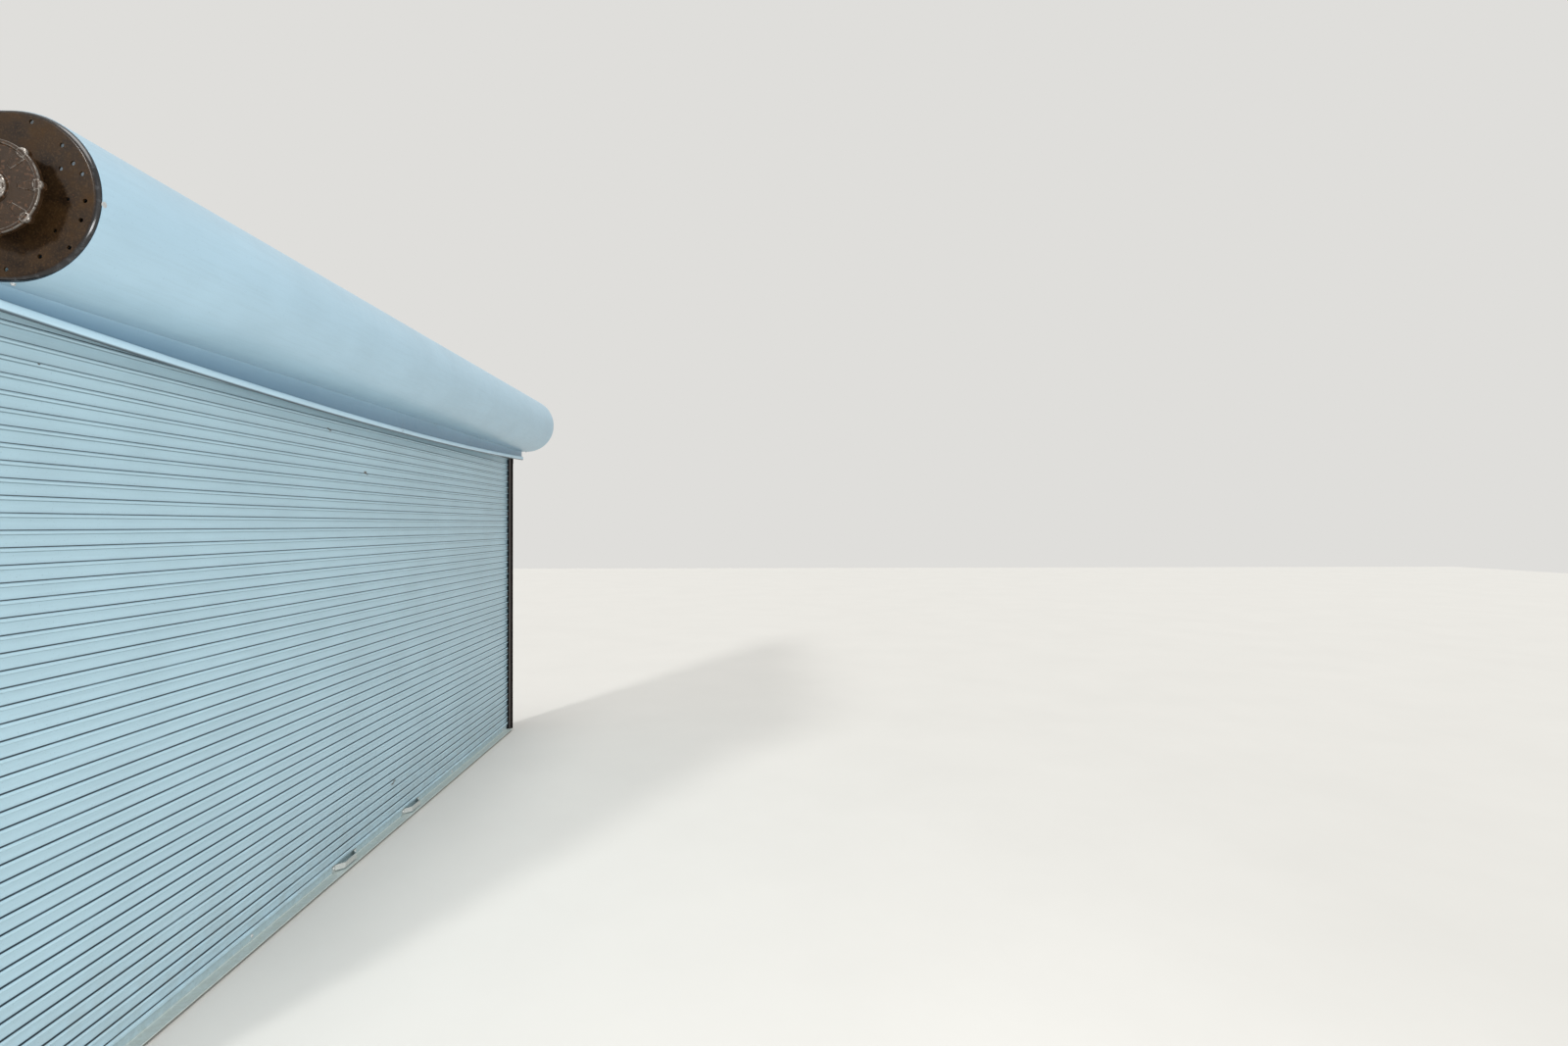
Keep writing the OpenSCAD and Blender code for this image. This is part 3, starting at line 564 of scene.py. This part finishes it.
def slat_line():
    """Middle line of a slat's sheet as (out, up) in metres, out into the room from the slat's flat face and
    up from its lower joint's height: a hook open at its upper left, a web, and a bead along the top."""
    hook = arc((HOOK_R, 0), HOOK_R, 440, 180, 16)
    rise = np.linspace(1, 5, 4)
    ease = np.stack([WEB_OUT * smooth(0, 5, rise), rise], -1)
    web = np.stack([np.full(8, WEB_OUT), [5, 6.6, 7.4, 8.2, 14, 26, 38.2, 38.9]], -1)
    fillet = arc((WEB_OUT + ROUND_R, BEAD_UP - ROUND_DOWN), ROUND_R, 180, ROUND_END, 6)
    bead = arc((BEAD_OUT, BEAD_UP), BEAD_R, 180 + ROUND_END, 460, 24)
    return path(hook, ease, web, fillet, bead) * MM


def slat_places(c):
    """Each joint's distance from the wall and height, and the last slat's upper end: upright, then along
    the slope that reaches the barrel, then on equal chords of the circle round it, 1 mm clear of the
    barrel."""
    joint = FACE + HOOK_R * MM
    wrap = (PIPE_HIGH.z - PIPE_LOW.z) / 2 + (SLAT_DEPTH - HOOK_R + 1) * MM
    top = c.first_joint + c.upright * c.pitch
    dy, dz = BARREL_Y - joint, BARREL_Z - top
    reach, run = math.hypot(dy, dz), c.sloping * c.pitch
    tilt = math.atan2(dy, dz) - math.acos((reach ** 2 + run ** 2 - wrap ** 2) / (2 * reach * run))
    i = np.arange(c.upright + 1)
    j = np.arange(1, c.sloping + 1) * c.pitch
    start = math.atan2(top + run * math.cos(tilt) - BARREL_Z, BARREL_Y - joint - run * math.sin(tilt))
    k = start + np.arange(1, c.wound + 1) * 2 * math.asin(c.pitch / 2 / wrap)
    y = np.concatenate([0 * i + joint, joint + j * math.sin(tilt), BARREL_Y - wrap * np.cos(k)])
    z = np.concatenate([c.first_joint + i * c.pitch, top + j * math.cos(tilt), BARREL_Z + wrap * np.sin(k)])
    return y, z


def slat(c, number, y, z):
    """One slat between two joints, and the dirt in its hook and in the joint above, with a weaker band under
    its bead that is dirt and painted shade in the crease: its outline tilted by the angle between them and
    carried along the door, with a slow wave of at most c.wave that dies out at its ends."""
    loop = sheet_loop(slat_line(), c.sheet)
    tilt = math.atan2(y[1] - y[0], z[1] - z[0])
    n, up = loop[:, 0] - HOOK_R * MM, loop[:, 1]
    d = y[0] + n * math.cos(tilt) + up * math.sin(tilt)
    h = z[0] - n * math.sin(tilt) + up * math.cos(tilt)
    xs = np.linspace(-SLAT_HALF, SLAT_HALF, 25)
    phase = number * 2.4
    wave = c.wave * np.sin(xs * 2.1 + phase) * np.sin(xs * 0.9 - phase) * (1 - (xs / SLAT_HALF) ** 8)
    loops = np.stack(np.broadcast_arrays(d + wave[:, None], h), -1)
    up = up / MM
    # Dirt in the hook and on the bead's top, and a band of 0.55 under the bead that is dirt and painted
    # shade in the crease
    dirt = np.maximum.reduce([smooth(8.2, 6.6, up), 0.55 * smooth(38.2, 39.2, up) * smooth(41.2, 40.2, up),
                              smooth(50.2, 50.7, up)])
    return carried(loops, xs), np.tile(dirt, len(xs))


class DOOR_OT_curtain(bpy.types.Operator):
    """Builds the slats, upright, sloping and round the barrel"""
    bl_idname = "rolling_door.curtain"
    bl_label = "Curtain"

    def execute(self, context):
        c = settings("curtain")
        sheet = coated_sheet("coil_coated_slat_steel", c.paint, c.grime_and_shade, chips=(
            (2.234, 1.911, 0.012), (1.861, 2.09, 0.01), (2.562, 0.238, 0.016), (0.278, 2.087, 0.0035)))
        y, z = slat_places(c)
        top = c.upright + c.sloping
        runs = (("lower_slats", 0, 16), ("middle_slats", 16, 32), ("upper_slats", 32, c.upright),
                ("sloping_slats_to_barrel", c.upright, top), ("slats_on_barrel", top, top + c.wound))
        for name, first, stop in runs:
            shapes, dirt = zip(*[slat(c, i, y[i:i + 2], z[i:i + 2]) for i in range(first, stop)])
            piece(name + "_sheet", joined(shapes), sheet, (name,),
                  shade={"dirt_and_painted_shade": np.concatenate(dirt)})
        dress(["left_end_locks", "right_end_locks"], zinc_plate("zinc_plated_locks", settings("bolts").zinc))
        return {"FINISHED"}


# Bottom bar

class DOOR_OT_bottom_bar(bpy.types.Operator):
    """Builds the bottom bar's web and finishes its angles, seal and handles"""
    bl_idname = "rolling_door.bottom_bar"
    bl_label = "Bottom bar"

    def execute(self, context):
        # The web rises between the angles, turns out into a tall bead and hooks the lowest slat at its top.
        # low and top are the heights in mm of that bead's lower and upper centre.
        c = settings("curtain")
        bead_height, half_round = 18, BEAD_R - WEB_OUT
        top = WEB_HIGH.z / MM - half_round
        low = top - bead_height + 2 * half_round
        front = BEAD_OUT + BEAD_R
        middle = path(line((WEB_OUT, WEB_LOW.z / MM), (WEB_OUT, low - 5.9), 6),
                      arc((WEB_OUT + ROUND_R, low - ROUND_DOWN), ROUND_R, 180, ROUND_END, 5),
                      arc((BEAD_OUT, low), BEAD_R, 180 + ROUND_END, 360, 10),
                      line((front, low + 1), (front, top - 1), 3),
                      arc((BEAD_OUT, top), BEAD_R, 0, 100, 10)) * MM
        loop = sheet_loop(middle, c.sheet)
        xs = np.linspace(-SLAT_HALF, SLAT_HALF, 17)
        loops = np.broadcast_to(np.stack([FACE + loop[:, 0], loop[:, 1]], -1), (17, len(loop), 2))
        dirt = smooth(low * MM, (low - 5) * MM, loop[:, 1])
        sheet = coated_sheet("coil_coated_bar_steel", c.paint, c.grime_and_shade)
        piece("bottom_bar_web_sheet", carried(loops, xs), sheet,
              ("bottom_bar_web",), shade={"dirt_and_painted_shade": np.tile(dirt * 0.6, 17)})
        dress(["inner_bottom_angle", "outer_bottom_angle"],
              galvanised("weathered_galvanised_angle", linear("#A9C0C8")))
        dress(["left_lift_handle", "right_lift_handle"],
              zinc_plate("zinc_plated_handle", linear("#D6DAD8")))
        dress(["bottom_seal"], rubber("extruded_rubber_seal"))
        return {"FINISHED"}


# Hood

def sagging(h, x):
    """How much lower the hood's edge hangs at a distance x from the middle: h.sag * (1 - (x / half)^2)."""
    return h.sag * (1 - (x / HOOD_HALF) ** 2)


def hood_line(h):
    """Middle line of the hood's sheet as distance from the wall and height in metres: a flange turned up on
    the wall, a flat top, a round front about the barrel, a short flat underside, and a hanging flange.
    Returns it with the number of points before the hanging flange begins."""
    r = PLATE_R + HOOD_GAP + h.sheet / 2
    top, under = BARREL_Z + r, BARREL_Z - r
    back, edge = h.sheet / 2, BARREL_Y - h.past + h.sheet / 2
    bend = 3 * MM
    front = path(line((back, HOOD_HIGH.z), (back, top + bend), 6),
                 arc((back + bend, top + bend), bend, 180, 270, 5),
                 line((back + bend, top), (BARREL_Y, top), 24), arc((BARREL_Y, BARREL_Z), r, 90, -90, 120),
                 line((BARREL_Y, under), (edge + bend, under), 6),
                 arc((edge + bend, under - bend), bend, 90, 180, 6))
    hang = line((edge, under - bend - 1 * MM), (edge, HOOD_LOW.z + h.sag), 14)
    return np.concatenate([front, hang]), len(front)


def hood_shape(h):
    """The hood's sheet carried along the door, and its painted shade: a film that fades over 105 mm of sheet
    above the bead, and one over the whole inner side. The round part sinks by the positive part of h.dent *
    (sin sin + 0.7 sin sin) of its place, which dies out at its edges and ends, and the hanging flange
    sags."""
    middle, fold = hood_line(h)
    inset = np.array([0, 0.01])
    xs = np.concatenate([inset - HOOD_HALF, np.linspace(-HOOD_HALF + 0.03, HOOD_HALF - 0.03, 61),
                         HOOD_HALF - inset[::-1]])
    # Share of the way from the back of the flat top to the fold, and from the fold to the lower edge
    number, flat = np.arange(len(middle)), 35
    part = np.clip(number - flat, 0, fold - flat) / (fold - flat)
    down = np.clip((number - fold) / (len(middle) - fold - 1), 0, 1)
    sink = np.outer(np.sin(xs * 1.7 + 0.6), np.sin(part * 9.0))
    sink += 0.7 * np.outer(np.sin(xs * 4.3 + 1.9), np.sin(part * 5.0 + 0.8))
    sink *= h.dent * np.outer(1 - (xs / HOOD_HALF) ** 10, smooth(0, 0.12, part) * smooth(1, 0.8, part))
    loops = []
    for x, depth in zip(xs, np.maximum(sink, 0)):
        here = middle + normals(middle) * depth[:, None]
        here[:, 1] -= sagging(h, x) * down
        loops.append(sheet_loop(here, h.sheet))
    # Painted shade: 1 over the whole inner side, and on the outer side fading from 20 to 105 mm above the
    # lower edge
    step = np.linalg.norm(np.diff(middle, axis=0), axis=1)
    dirt = smooth(0.105, 0.02, np.concatenate([np.cumsum(step[::-1])[::-1], [0]]))
    return carried(np.array(loops), xs), np.tile(np.concatenate([0 * dirt + 1, dirt[::-1]]), len(xs))


def lip_shape(h):
    """Rolled bead along the sagging edge, and a painted shadow along its underside with a fainter darkening
    along its top: a sheet folded round the ellipse (r cos a, rise sin a) and carried along the door."""
    r = (LIP_HIGH.y - LIP_LOW.y) / 2 - SHEET / 2
    y = -(LIP_HIGH.y + LIP_LOW.y) / 2
    base, rise = LIP_LOW.z + h.sag, h.lip / 2 - SHEET / 2
    a = np.radians(np.linspace(188, -170, 60))
    middle = np.stack([y + r * np.cos(a), base + h.lip / 2 + rise * np.sin(a)], -1)
    loop = sheet_loop(middle, SHEET)
    xs = np.linspace(-1, 1, 61) * (LIP_HIGH.x - LIP_LOW.x) / 2
    drop = np.clip(sagging(h, xs), 0, h.sag - 0.3 * MM)
    loops = np.stack(np.broadcast_arrays(loop[:, 0], loop[:, 1] - drop[:, None]), -1)
    height = (loop[:, 1] - base) / h.lip
    # Painted shadow along the bead's lowest part, fading out at 30 % of its height, and a fainter darkening
    # of 0.3 near its top
    dirt = np.maximum(smooth(0.3, 0.1, height), 0.3 * smooth(0.86, 0.96, height))
    return carried(loops, xs), np.tile(dirt, len(xs))


class DOOR_OT_hood(bpy.types.Operator):
    """Builds the hood's sheet and the bead along its lower edge"""
    bl_idname = "rolling_door.hood"
    bl_label = "Hood"

    def execute(self, context):
        h = settings("hood")
        # The hood's grime colour is painted shade, laid at 0.75 over its inner side and over the sheet above
        # the bead
        sheet = coated_sheet("coil_coated_hood_steel", h.paint, h.shade,
                             ((2.451, -0.171, 2.172, 0.05), (2.904, -0.171, 2.235, 0.045)), 0.75)
        shape, dirt = hood_shape(h)
        piece("hood_smooth_sheet", shape, sheet, ("hood_sheet",), 35,
              {"dirt_and_painted_shade": dirt})
        shape, dirt = lip_shape(h)
        # The bead's lighter paint is a painted highlight, and the grime colour under it a painted shadow
        bead = coated_sheet("coil_coated_lip_steel", h.lip_paint_with_highlight, settings("curtain").grime_and_shade,
                            ((2.41, -0.182, 2.15, 0.03),), 0.95)
        piece("hood_rolled_lip", shape, bead, ("hood_lip",), 50, {"dirt_and_painted_shade": dirt})
        dress(["hood_support"], primer("grey_primer_support", linear("#4A4846")))
        return {"FINISHED"}


# Plates, wheel and barrel

def wheel_shape():
    """The tension wheel as a closed surface on a grid of angle and place along its section, and its edges'
    wear. At angle delta from the nearest lug the outer radius is the larger of the rim's and the lug's
    circle, and the front's height is blended from web, pad, hub, rim and lug. Lengths are in mm."""
    face = -(WHEEL_LOW.x - PLATE_LOW.x) / MM
    rim, around = face - 3, 720
    a = np.linspace(0, 2 * np.pi, around, endpoint=False)
    delta = np.radians((np.degrees(a) - LUG_TURN + 22.5) % 45 - 22.5)
    half = np.abs(LUG_RING * np.sin(delta))
    lug = LUG_RING * np.cos(delta) + np.sqrt(np.clip(LUG_R ** 2 - half ** 2, 0, None))
    outer = np.where(half < LUG_R, np.maximum(lug, WHEEL_R), WHEEL_R)
    outer = (np.roll(outer, 1) + 2 * outer + np.roll(outer, -1)) / 4

    def radii(reference):
        return reference[:, None] + (outer - WHEEL_R) * smooth(100, WHEEL_R, reference)[:, None]

    def from_lug(r):
        return np.hypot(r * np.cos(delta) - LUG_RING, r * np.sin(delta))

    def rows(values):
        return np.repeat(np.asarray(values, float)[:, None], around, 1)

    steps = ((WHEEL_BORE, 37, 5), (37.5, 42.5, 8), (45, 58, 4), (60, 66, 7), (69, 96, 12), (97, 107, 16),
             (108, 112.5, 6), (113, WHEEL_R, 8))
    r_front = radii(np.concatenate([np.linspace(*step) for step in steps]))
    # The web lies 5 mm behind the rim, each lug's pad 3 mm before the web, the hub 3 mm before the rim and
    # the lugs 1 mm. A pad widens from 6 mm on each side at a radius of 63 mm by 0.2 mm in each mm.
    width = 6 + (r_front - 63) * 0.2
    pad = smooth(61, 65, r_front) * smooth(105, 101, r_front)
    pad = pad * smooth(width + 0.8, width - 1.2, np.abs(r_front * np.sin(delta)))
    h_front = rim - 5 + 3 * pad + (face - rim + 5) * smooth(42, 37.5, r_front)
    h_front = h_front + (rim - h_front) * smooth(103.5, 106.5, r_front)
    away = from_lug(r_front)
    h_front = h_front + (rim + 1 - h_front) * smooth(13.0, 10.6, away)
    over = np.clip(r_front - (outer - EDGE_R), 0, EDGE_R)
    h_front = h_front - (EDGE_R - np.sqrt(np.clip(EDGE_R ** 2 - over ** 2, 0, None)))
    # The back: rim, step up to the web, and the hollow of the hub
    r_back = radii(np.array([114.3, 112.5, 108, 105.5, 104.5, 103, 100, 90, 60, 36, 33, 31.2, 31, 30.5,
                             WHEEL_BORE]))
    h_back = rows([38.6, 38, 38, 38.4, 40, 41.6] + [WEB_BACK] * 4 + [41.2, 39, 16, 14, 14])
    h_back = h_back + (RIM_BACK - h_back) * smooth(13.0, 10.6, from_lug(r_back)) * (r_back > 60)
    r = np.concatenate([r_front, np.tile(outer, (5, 1)), r_back, np.full((2, around), WHEEL_BORE)])
    h = np.concatenate([h_front, rows(np.linspace(rim - 4, 40.5, 5)), h_back, rows([25, 45])])
    # Worn: the rim's outer and inner edge, the edges of the pads and lugs, and the hub
    edges = (pad > 0.35) * (pad < 0.95) * 1.0 + (away < 12.4) * (away > 10.2) + smooth(113, 114.6, r_front)
    inner = smooth(105.5, 106.5, r_front) * smooth(108.5, 107, r_front)
    wear = np.zeros(r.shape)
    wear[:len(r_front)] = np.clip(0.8 * edges + 0.4 * inner + smooth(39.5, 38, r_front), 0, 1)
    wear[len(r_front)] = 0.8
    points = points_at(PLATE_LOW.x - h * MM, BARREL_Y + r * np.cos(a) * MM, BARREL_Z + r * np.sin(a) * MM)
    return (points.reshape(-1, 3), grid_faces(len(r), around, True, True)), wear


def bored(made, centres, direction, radius, reach):
    """Cuts round holes through a piece by boolean difference and keeps the result as its mesh."""
    rod = turned([(radius, -reach, 0), (radius, reach, 0)], 32)
    points, faces = stamped(rod, centres, direction, 1)
    mesh = bpy.data.meshes.new("cutter")
    mesh.from_pydata(points.tolist(), [], [f[:3].tolist() if f[2] == f[3] else f.tolist() for f in faces])
    cutter = placed("cutter", mesh)
    cut = made.modifiers.new("holes", "BOOLEAN")
    cut.object, cut.operation, cut.solver = cutter, "DIFFERENCE", "EXACT"
    bpy.context.view_layer.update()
    done = bpy.data.meshes.new_from_object(made.evaluated_get(bpy.context.evaluated_depsgraph_get()))
    made.modifiers.clear()
    old, made.data = made.data, done
    bpy.data.meshes.remove(old)
    bpy.data.objects.remove(cutter)
    if len(done.polygons) < 1000:
        raise RuntimeError("the holes of " + made.name + " weren't cut")
    done.shade_smooth()
    done.set_sharp_from_angle(angle=math.radians(45))


class DOOR_OT_wheel(bpy.types.Operator):
    """Builds the tension wheel and finishes the shafts, bearings and barrel"""
    bl_idname = "rolling_door.wheel"
    bl_label = "Tension wheel and barrel"

    def execute(self, context):
        iron = settings("iron")
        shape, wear = wheel_shape()
        wheel = piece("tension_wheel_casting", shape, cast_iron("painted_cast_iron_wheel", iron.wheel),
                      ("tension_wheel",), 45, {"edge_wear": wear})
        a, ring = np.radians(LUG_TURN + 45 * np.arange(8)), LUG_RING * MM
        centres = points_at(PLATE_LOW.x - 47 * MM, BARREL_Y + ring * np.cos(a), BARREL_Z + ring * np.sin(a))
        bored(wheel, centres, (1, 0, 0), 5 * MM, 15 * MM)
        dress(["left_bearing", "right_bearing", "left_barrel_plug", "right_barrel_plug"],
              cast_iron("painted_cast_iron_bearing", linear("#3A3734")))
        dress(["tension_shaft"], bare_steel("turned_steel_shaft", iron.bare, iron.rust, 0.1))
        dress(["drive_shaft"], bare_steel("rusty_steel_shaft", iron.bare, iron.rust, 0.95))
        dress(["wheel_lock_bolt"], zinc_plate("zinc_plated_lock_bolt", settings("bolts").zinc))
        dress(["barrel_pipe"], primer("red_oxide_primer_pipe", linear("#4C3A34")))
        return {"FINISHED"}


class DOOR_OT_plates(bpy.types.Operator):
    """Finishes the bracket plates, wall angles and guide angles"""
    bl_idname = "rolling_door.plates"
    bl_label = "Plates and guides"

    def execute(self, context):
        iron = settings("iron")
        centre = (0, -BARREL_Y, BARREL_Z)
        dress(["left_bracket_plate"], black_enamel("dusty_black_enamel", iron.plate, 0.85, centre))
        dress(["right_bracket_plate"], black_enamel("black_enamel_plate", iron.plate_right, 0.25, centre))
        dress([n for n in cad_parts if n.endswith(("wall_angle", "guide_angle"))],
              black_enamel("black_enamel_guides", iron.guide, 0.15))
        return {"FINISHED"}


# Bolts

def bolt(flat, head, washer=0, thread=0):
    """Hexagon head with a chamfered top, and a washer and a thread's end where their radii are given: a
    profile of radius, height and share of hexagon, turned round its axis from height 0. The width across
    its flats is in metres, and the rest in mm."""
    head, washer, thread = head * MM, washer * MM, thread * MM
    rise = 2 * MM if washer else 0.0
    rows = [(washer, 0, 0), (washer, rise - 0.3 * MM, 0), (washer - 0.5 * MM, rise, 0)] if washer else []
    rows += [(flat / 2, rise, 1), (flat / 2, rise + head * 0.78, 1), (flat / 2, rise + head * 0.92, 0.45),
             (flat * 0.47, rise + head, 0)]
    if thread:
        rows += [(thread, rise + head, 0), (thread, rise + head + 4 * MM, 0),
                 (thread * 0.8, rise + head + 5 * MM, 0)]
    return turned(rows)


def round_head(radius, head):
    """Low domed head in mm: radius * cos(t) at height head * sin(t)."""
    t = np.linspace(0, 1.35, 7)
    return turned(np.stack([radius * np.cos(t), head * np.sin(t), 0 * t], -1) * MM)


class DOOR_OT_bolts(bpy.types.Operator):
    """Builds the wall anchors, guide bolts, plate bolts, hood screws and bottom bar bolts"""
    bl_idname = "rolling_door.bolts"
    bl_label = "Bolts and screws"

    def execute(self, context):
        b = settings("bolts")
        zinc = zinc_plate("zinc_plated_bolts", b.zinc)

        def fasten(name, *rows):
            """One piece of copies of shapes, each row a shape, its places, its direction and its seed."""
            piece(name, joined([stamped(*row) for row in rows]), zinc)

        # Thickness of an angle's leg, then distances: anchors from the guide leg's inner face, guide bolts
        # from the wall, bearing bolts from the barrel's axis, hood screws from the hood's end
        leg, anchor_out, guide_out, bearing_up, screw_in = 4.8 * MM, 38 * MM, 39 * MM, 48 * MM, 7 * MM
        for side, word in ((-1, "left"), (1, "right")):
            heights = (150 + 450 * np.arange(6)) * MM
            fasten(word + "_wall_anchors", (bolt(b.anchor_flat, 8, 15, 5.5), points_at(
                MIDDLE + side * (LEG_HALF + anchor_out), leg, heights), (0, -1, 0), 3 + side))
            heights = (180 + 460 * np.arange(5)) * MM
            outside = points_at(MIDDLE + side * (LEG_HALF + leg), guide_out, heights)
            inside = points_at(MIDDLE + side * (LEG_HALF - 2 * leg), guide_out, heights)
            fasten(word + "_guide_bolts", (bolt(b.guide_flat, 6.5), outside, (side, 0, 0), 5 + side),
                   (bolt(b.guide_flat, 8, 0, 4.6), inside, (-side, 0, 0), 8 + side))
            # In the plate: one bolt with a broad washer at its top, three down its back, two in the bearing
            face, out = MIDDLE + side * PLATE_HALF, (side, 0, 0)
            fasten(word + "_plate_bolts",
                   (bolt(b.plate_flat, 6, 18), points_at(face, 29 * MM, [2.626]), out, 11 + side),
                   (bolt(b.plate_flat, 6, 11),
                    points_at(face, [0.052, 0.052, 0.029], [2.175, 2.262, 2.42]), out, 12 + side),
                   (bolt(b.plate_flat, 6.5, 10),
                    points_at(face, BARREL_Y, BARREL_Z + bearing_up * np.array([-1, 1])), out, 15 + side))
            # Hood screws at its front, below it and on its flat top near the wall. The foremost one's head
            # is drawn into the sheet, so that the hood stays the foremost form.
            end, r = MIDDLE + side * (HOOD_HALF - screw_in), PLATE_R + HOOD_GAP + SHEET
            angle = np.radians([-4, -91.8])
            out = points_at(0, np.cos(angle), np.sin(angle))
            places = np.array([end, -BARREL_Y, BARREL_Z]) + out * r
            screw = bolt(b.screw_flat, 4, 6.5)
            fasten(word + "_hood_screws",
                   (round_head(9, 1), places[:1] - out[:1] * 0.65 * MM, out[:1], 17 + side),
                   (screw, places[1:], out[1:], 18 + side),
                   (screw, points_at(end, [0.055, 0.13], BARREL_Z + r), (0, 0, 1), 19 + side))
        # Bolts through the outer bottom angle, and one rivet in each foot of the two handles
        face = 3.2 * MM - BAR_HIGH.y
        xs = np.array([-2.18, -1.13, 1.06, 2.18]) + MIDDLE
        fasten("bottom_bar_bolts", (round_head(8, 4), points_at(xs, face, 33 * MM), (0, -1, 0), 21))
        feet = np.array([m + s * 103 * MM for m in (-0.39, 0.39) for s in (-1, 1)]) + MIDDLE
        places = points_at(feet, face + 4 * MM, BAR_LOW.z + 22.2 * MM)
        fasten("handle_rivets", (round_head(6.5, 3.5), places, (0, -1, 0), 22))
        return {"FINISHED"}


# Stage

class DOOR_OT_stage(bpy.types.Operator):
    """Sets the floor, the light and the camera"""
    bl_idname = "rolling_door.stage"
    bl_label = "Stage"

    def execute(self, context):
        s = settings("stage")
        scene = context.scene
        scene.view_settings.view_transform = "Standard"
        corners = [(30 * x, 30 * y, 0) for x, y in ((-1, -1), (1, -1), (1, 1), (-1, 1))]
        mesh = bpy.data.meshes.new("floor")
        mesh.from_pydata(corners, [], [(0, 1, 2, 3)])
        floor = placed("floor", mesh)
        material, shader, where = begin("plain_floor")
        base = layered(s.floor, (shaded(s.floor, 0.97), spots(where, 900, 0.3, 0.7)))
        finish_shader(shader, base, 0.8)
        mesh.materials.append(material)
        world = bpy.data.worlds.new("plain_light")
        world.use_nodes = True
        tree = world.node_tree
        tree.nodes.clear()
        seen = 0.0
        for ray in ("Is Camera Ray", "Is Glossy Ray", "Is Transmission Ray"):
            seen = add(tree, "Math", {0: seen, 1: add(tree, "LightPath", out=ray)}, operation="MAXIMUM")
        light = add(tree, "Background", {"Color": linear("#F4F7FA"), "Strength": s.sky})
        shown = add(tree, "Background", {"Color": s.backdrop, "Strength": 1.0})
        both = add(tree, "MixShader", {0: seen, 1: light, 2: shown})
        put(tree.nodes.new("ShaderNodeOutputWorld"), "Surface", both)
        scene.world = world
        # Soft light from the room and from above, a harder one past the left end, and a broad panel low in
        # the room, whose light reaches up under the hood
        suns = (("front_light", s.front, 60, (0.3, 0.93, -0.12)),
                ("top_light", s.top, 45, (0.2, 0.2, -0.95)),
                ("side_light", s.side, 8, (0.82, -0.38, -0.42)))
        for name, energy, angle, towards in suns:
            lamp = bpy.data.lights.new(name, "SUN")
            lamp.energy, lamp.angle, lamp.color = energy, math.radians(angle), (1.0, 0.99, 0.97)
            placed(name, lamp).rotation_euler = Vector(towards).to_track_quat("-Z", "Z").to_euler()
        lamp = bpy.data.lights.new("light_panel", "AREA")
        lamp.energy, lamp.shape, lamp.size, lamp.size_y, lamp.spread = s.panel, "RECTANGLE", 3.0, 1.1, 1.8
        panel = placed("light_panel", lamp)
        panel.location = (-2.6, -4.2, 1.05)
        panel.rotation_euler = (Vector((1.4, 0, 1.7)) - panel.location).to_track_quat("-Z", "Y").to_euler()
        panel.visible_camera = False
        # The viewpoint: 2.03 m from the wall and 1.645 m up, looking along the door, 2.284 degrees towards
        # the room and 0.158 degrees up
        turn, rise = math.radians(2.284), math.radians(0.158)
        flat = math.cos(rise)
        forward = Vector((math.cos(turn) * flat, -math.sin(turn) * flat, math.sin(rise)))
        data = bpy.data.cameras.new("camera")
        data.lens, data.sensor_width, data.sensor_fit = s.lens, 36.0, "HORIZONTAL"
        camera = placed("camera", data)
        camera.location = (MIDDLE - 4.4843, -2.03, 1.645)
        camera.rotation_euler = forward.to_track_quat("-Z", "Y").to_euler()
        scene.camera = camera
        return {"FINISHED"}


OPERATORS = (DOOR_OT_curtain, DOOR_OT_bottom_bar, DOOR_OT_hood, DOOR_OT_wheel, DOOR_OT_plates,
             DOOR_OT_bolts, DOOR_OT_stage)


class DOOR_PT_panel(bpy.types.Panel):
    bl_idname = "DOOR_PT_panel"
    bl_label = "Rolling Door"
    bl_space_type = "VIEW_3D"
    bl_region_type = "UI"
    bl_category = "Rolling Door"

    def draw(self, context):
        for name, group in GROUPS.items():
            box = self.layout.box()
            box.label(text=name.capitalize())
            for key in group.__annotations__:
                box.prop(settings(name), key)
        for operator in OPERATORS:
            self.layout.operator(operator.bl_idname)


def register():
    for cls in (*GROUPS.values(), *OPERATORS, DOOR_PT_panel):
        bpy.utils.register_class(cls)
    for name, group in GROUPS.items():
        setattr(bpy.types.Scene, "rolling_door_" + name, PointerProperty(type=group))


def unregister():
    for name in GROUPS:
        delattr(bpy.types.Scene, "rolling_door_" + name)
    for cls in (DOOR_PT_panel, *reversed(OPERATORS), *reversed(GROUPS.values())):
        bpy.utils.unregister_class(cls)


def main():
    register()
    for operator in OPERATORS:
        group, name = operator.bl_idname.split(".")
        getattr(getattr(bpy.ops, group), name)()


if __name__ == "__main__":
    main()
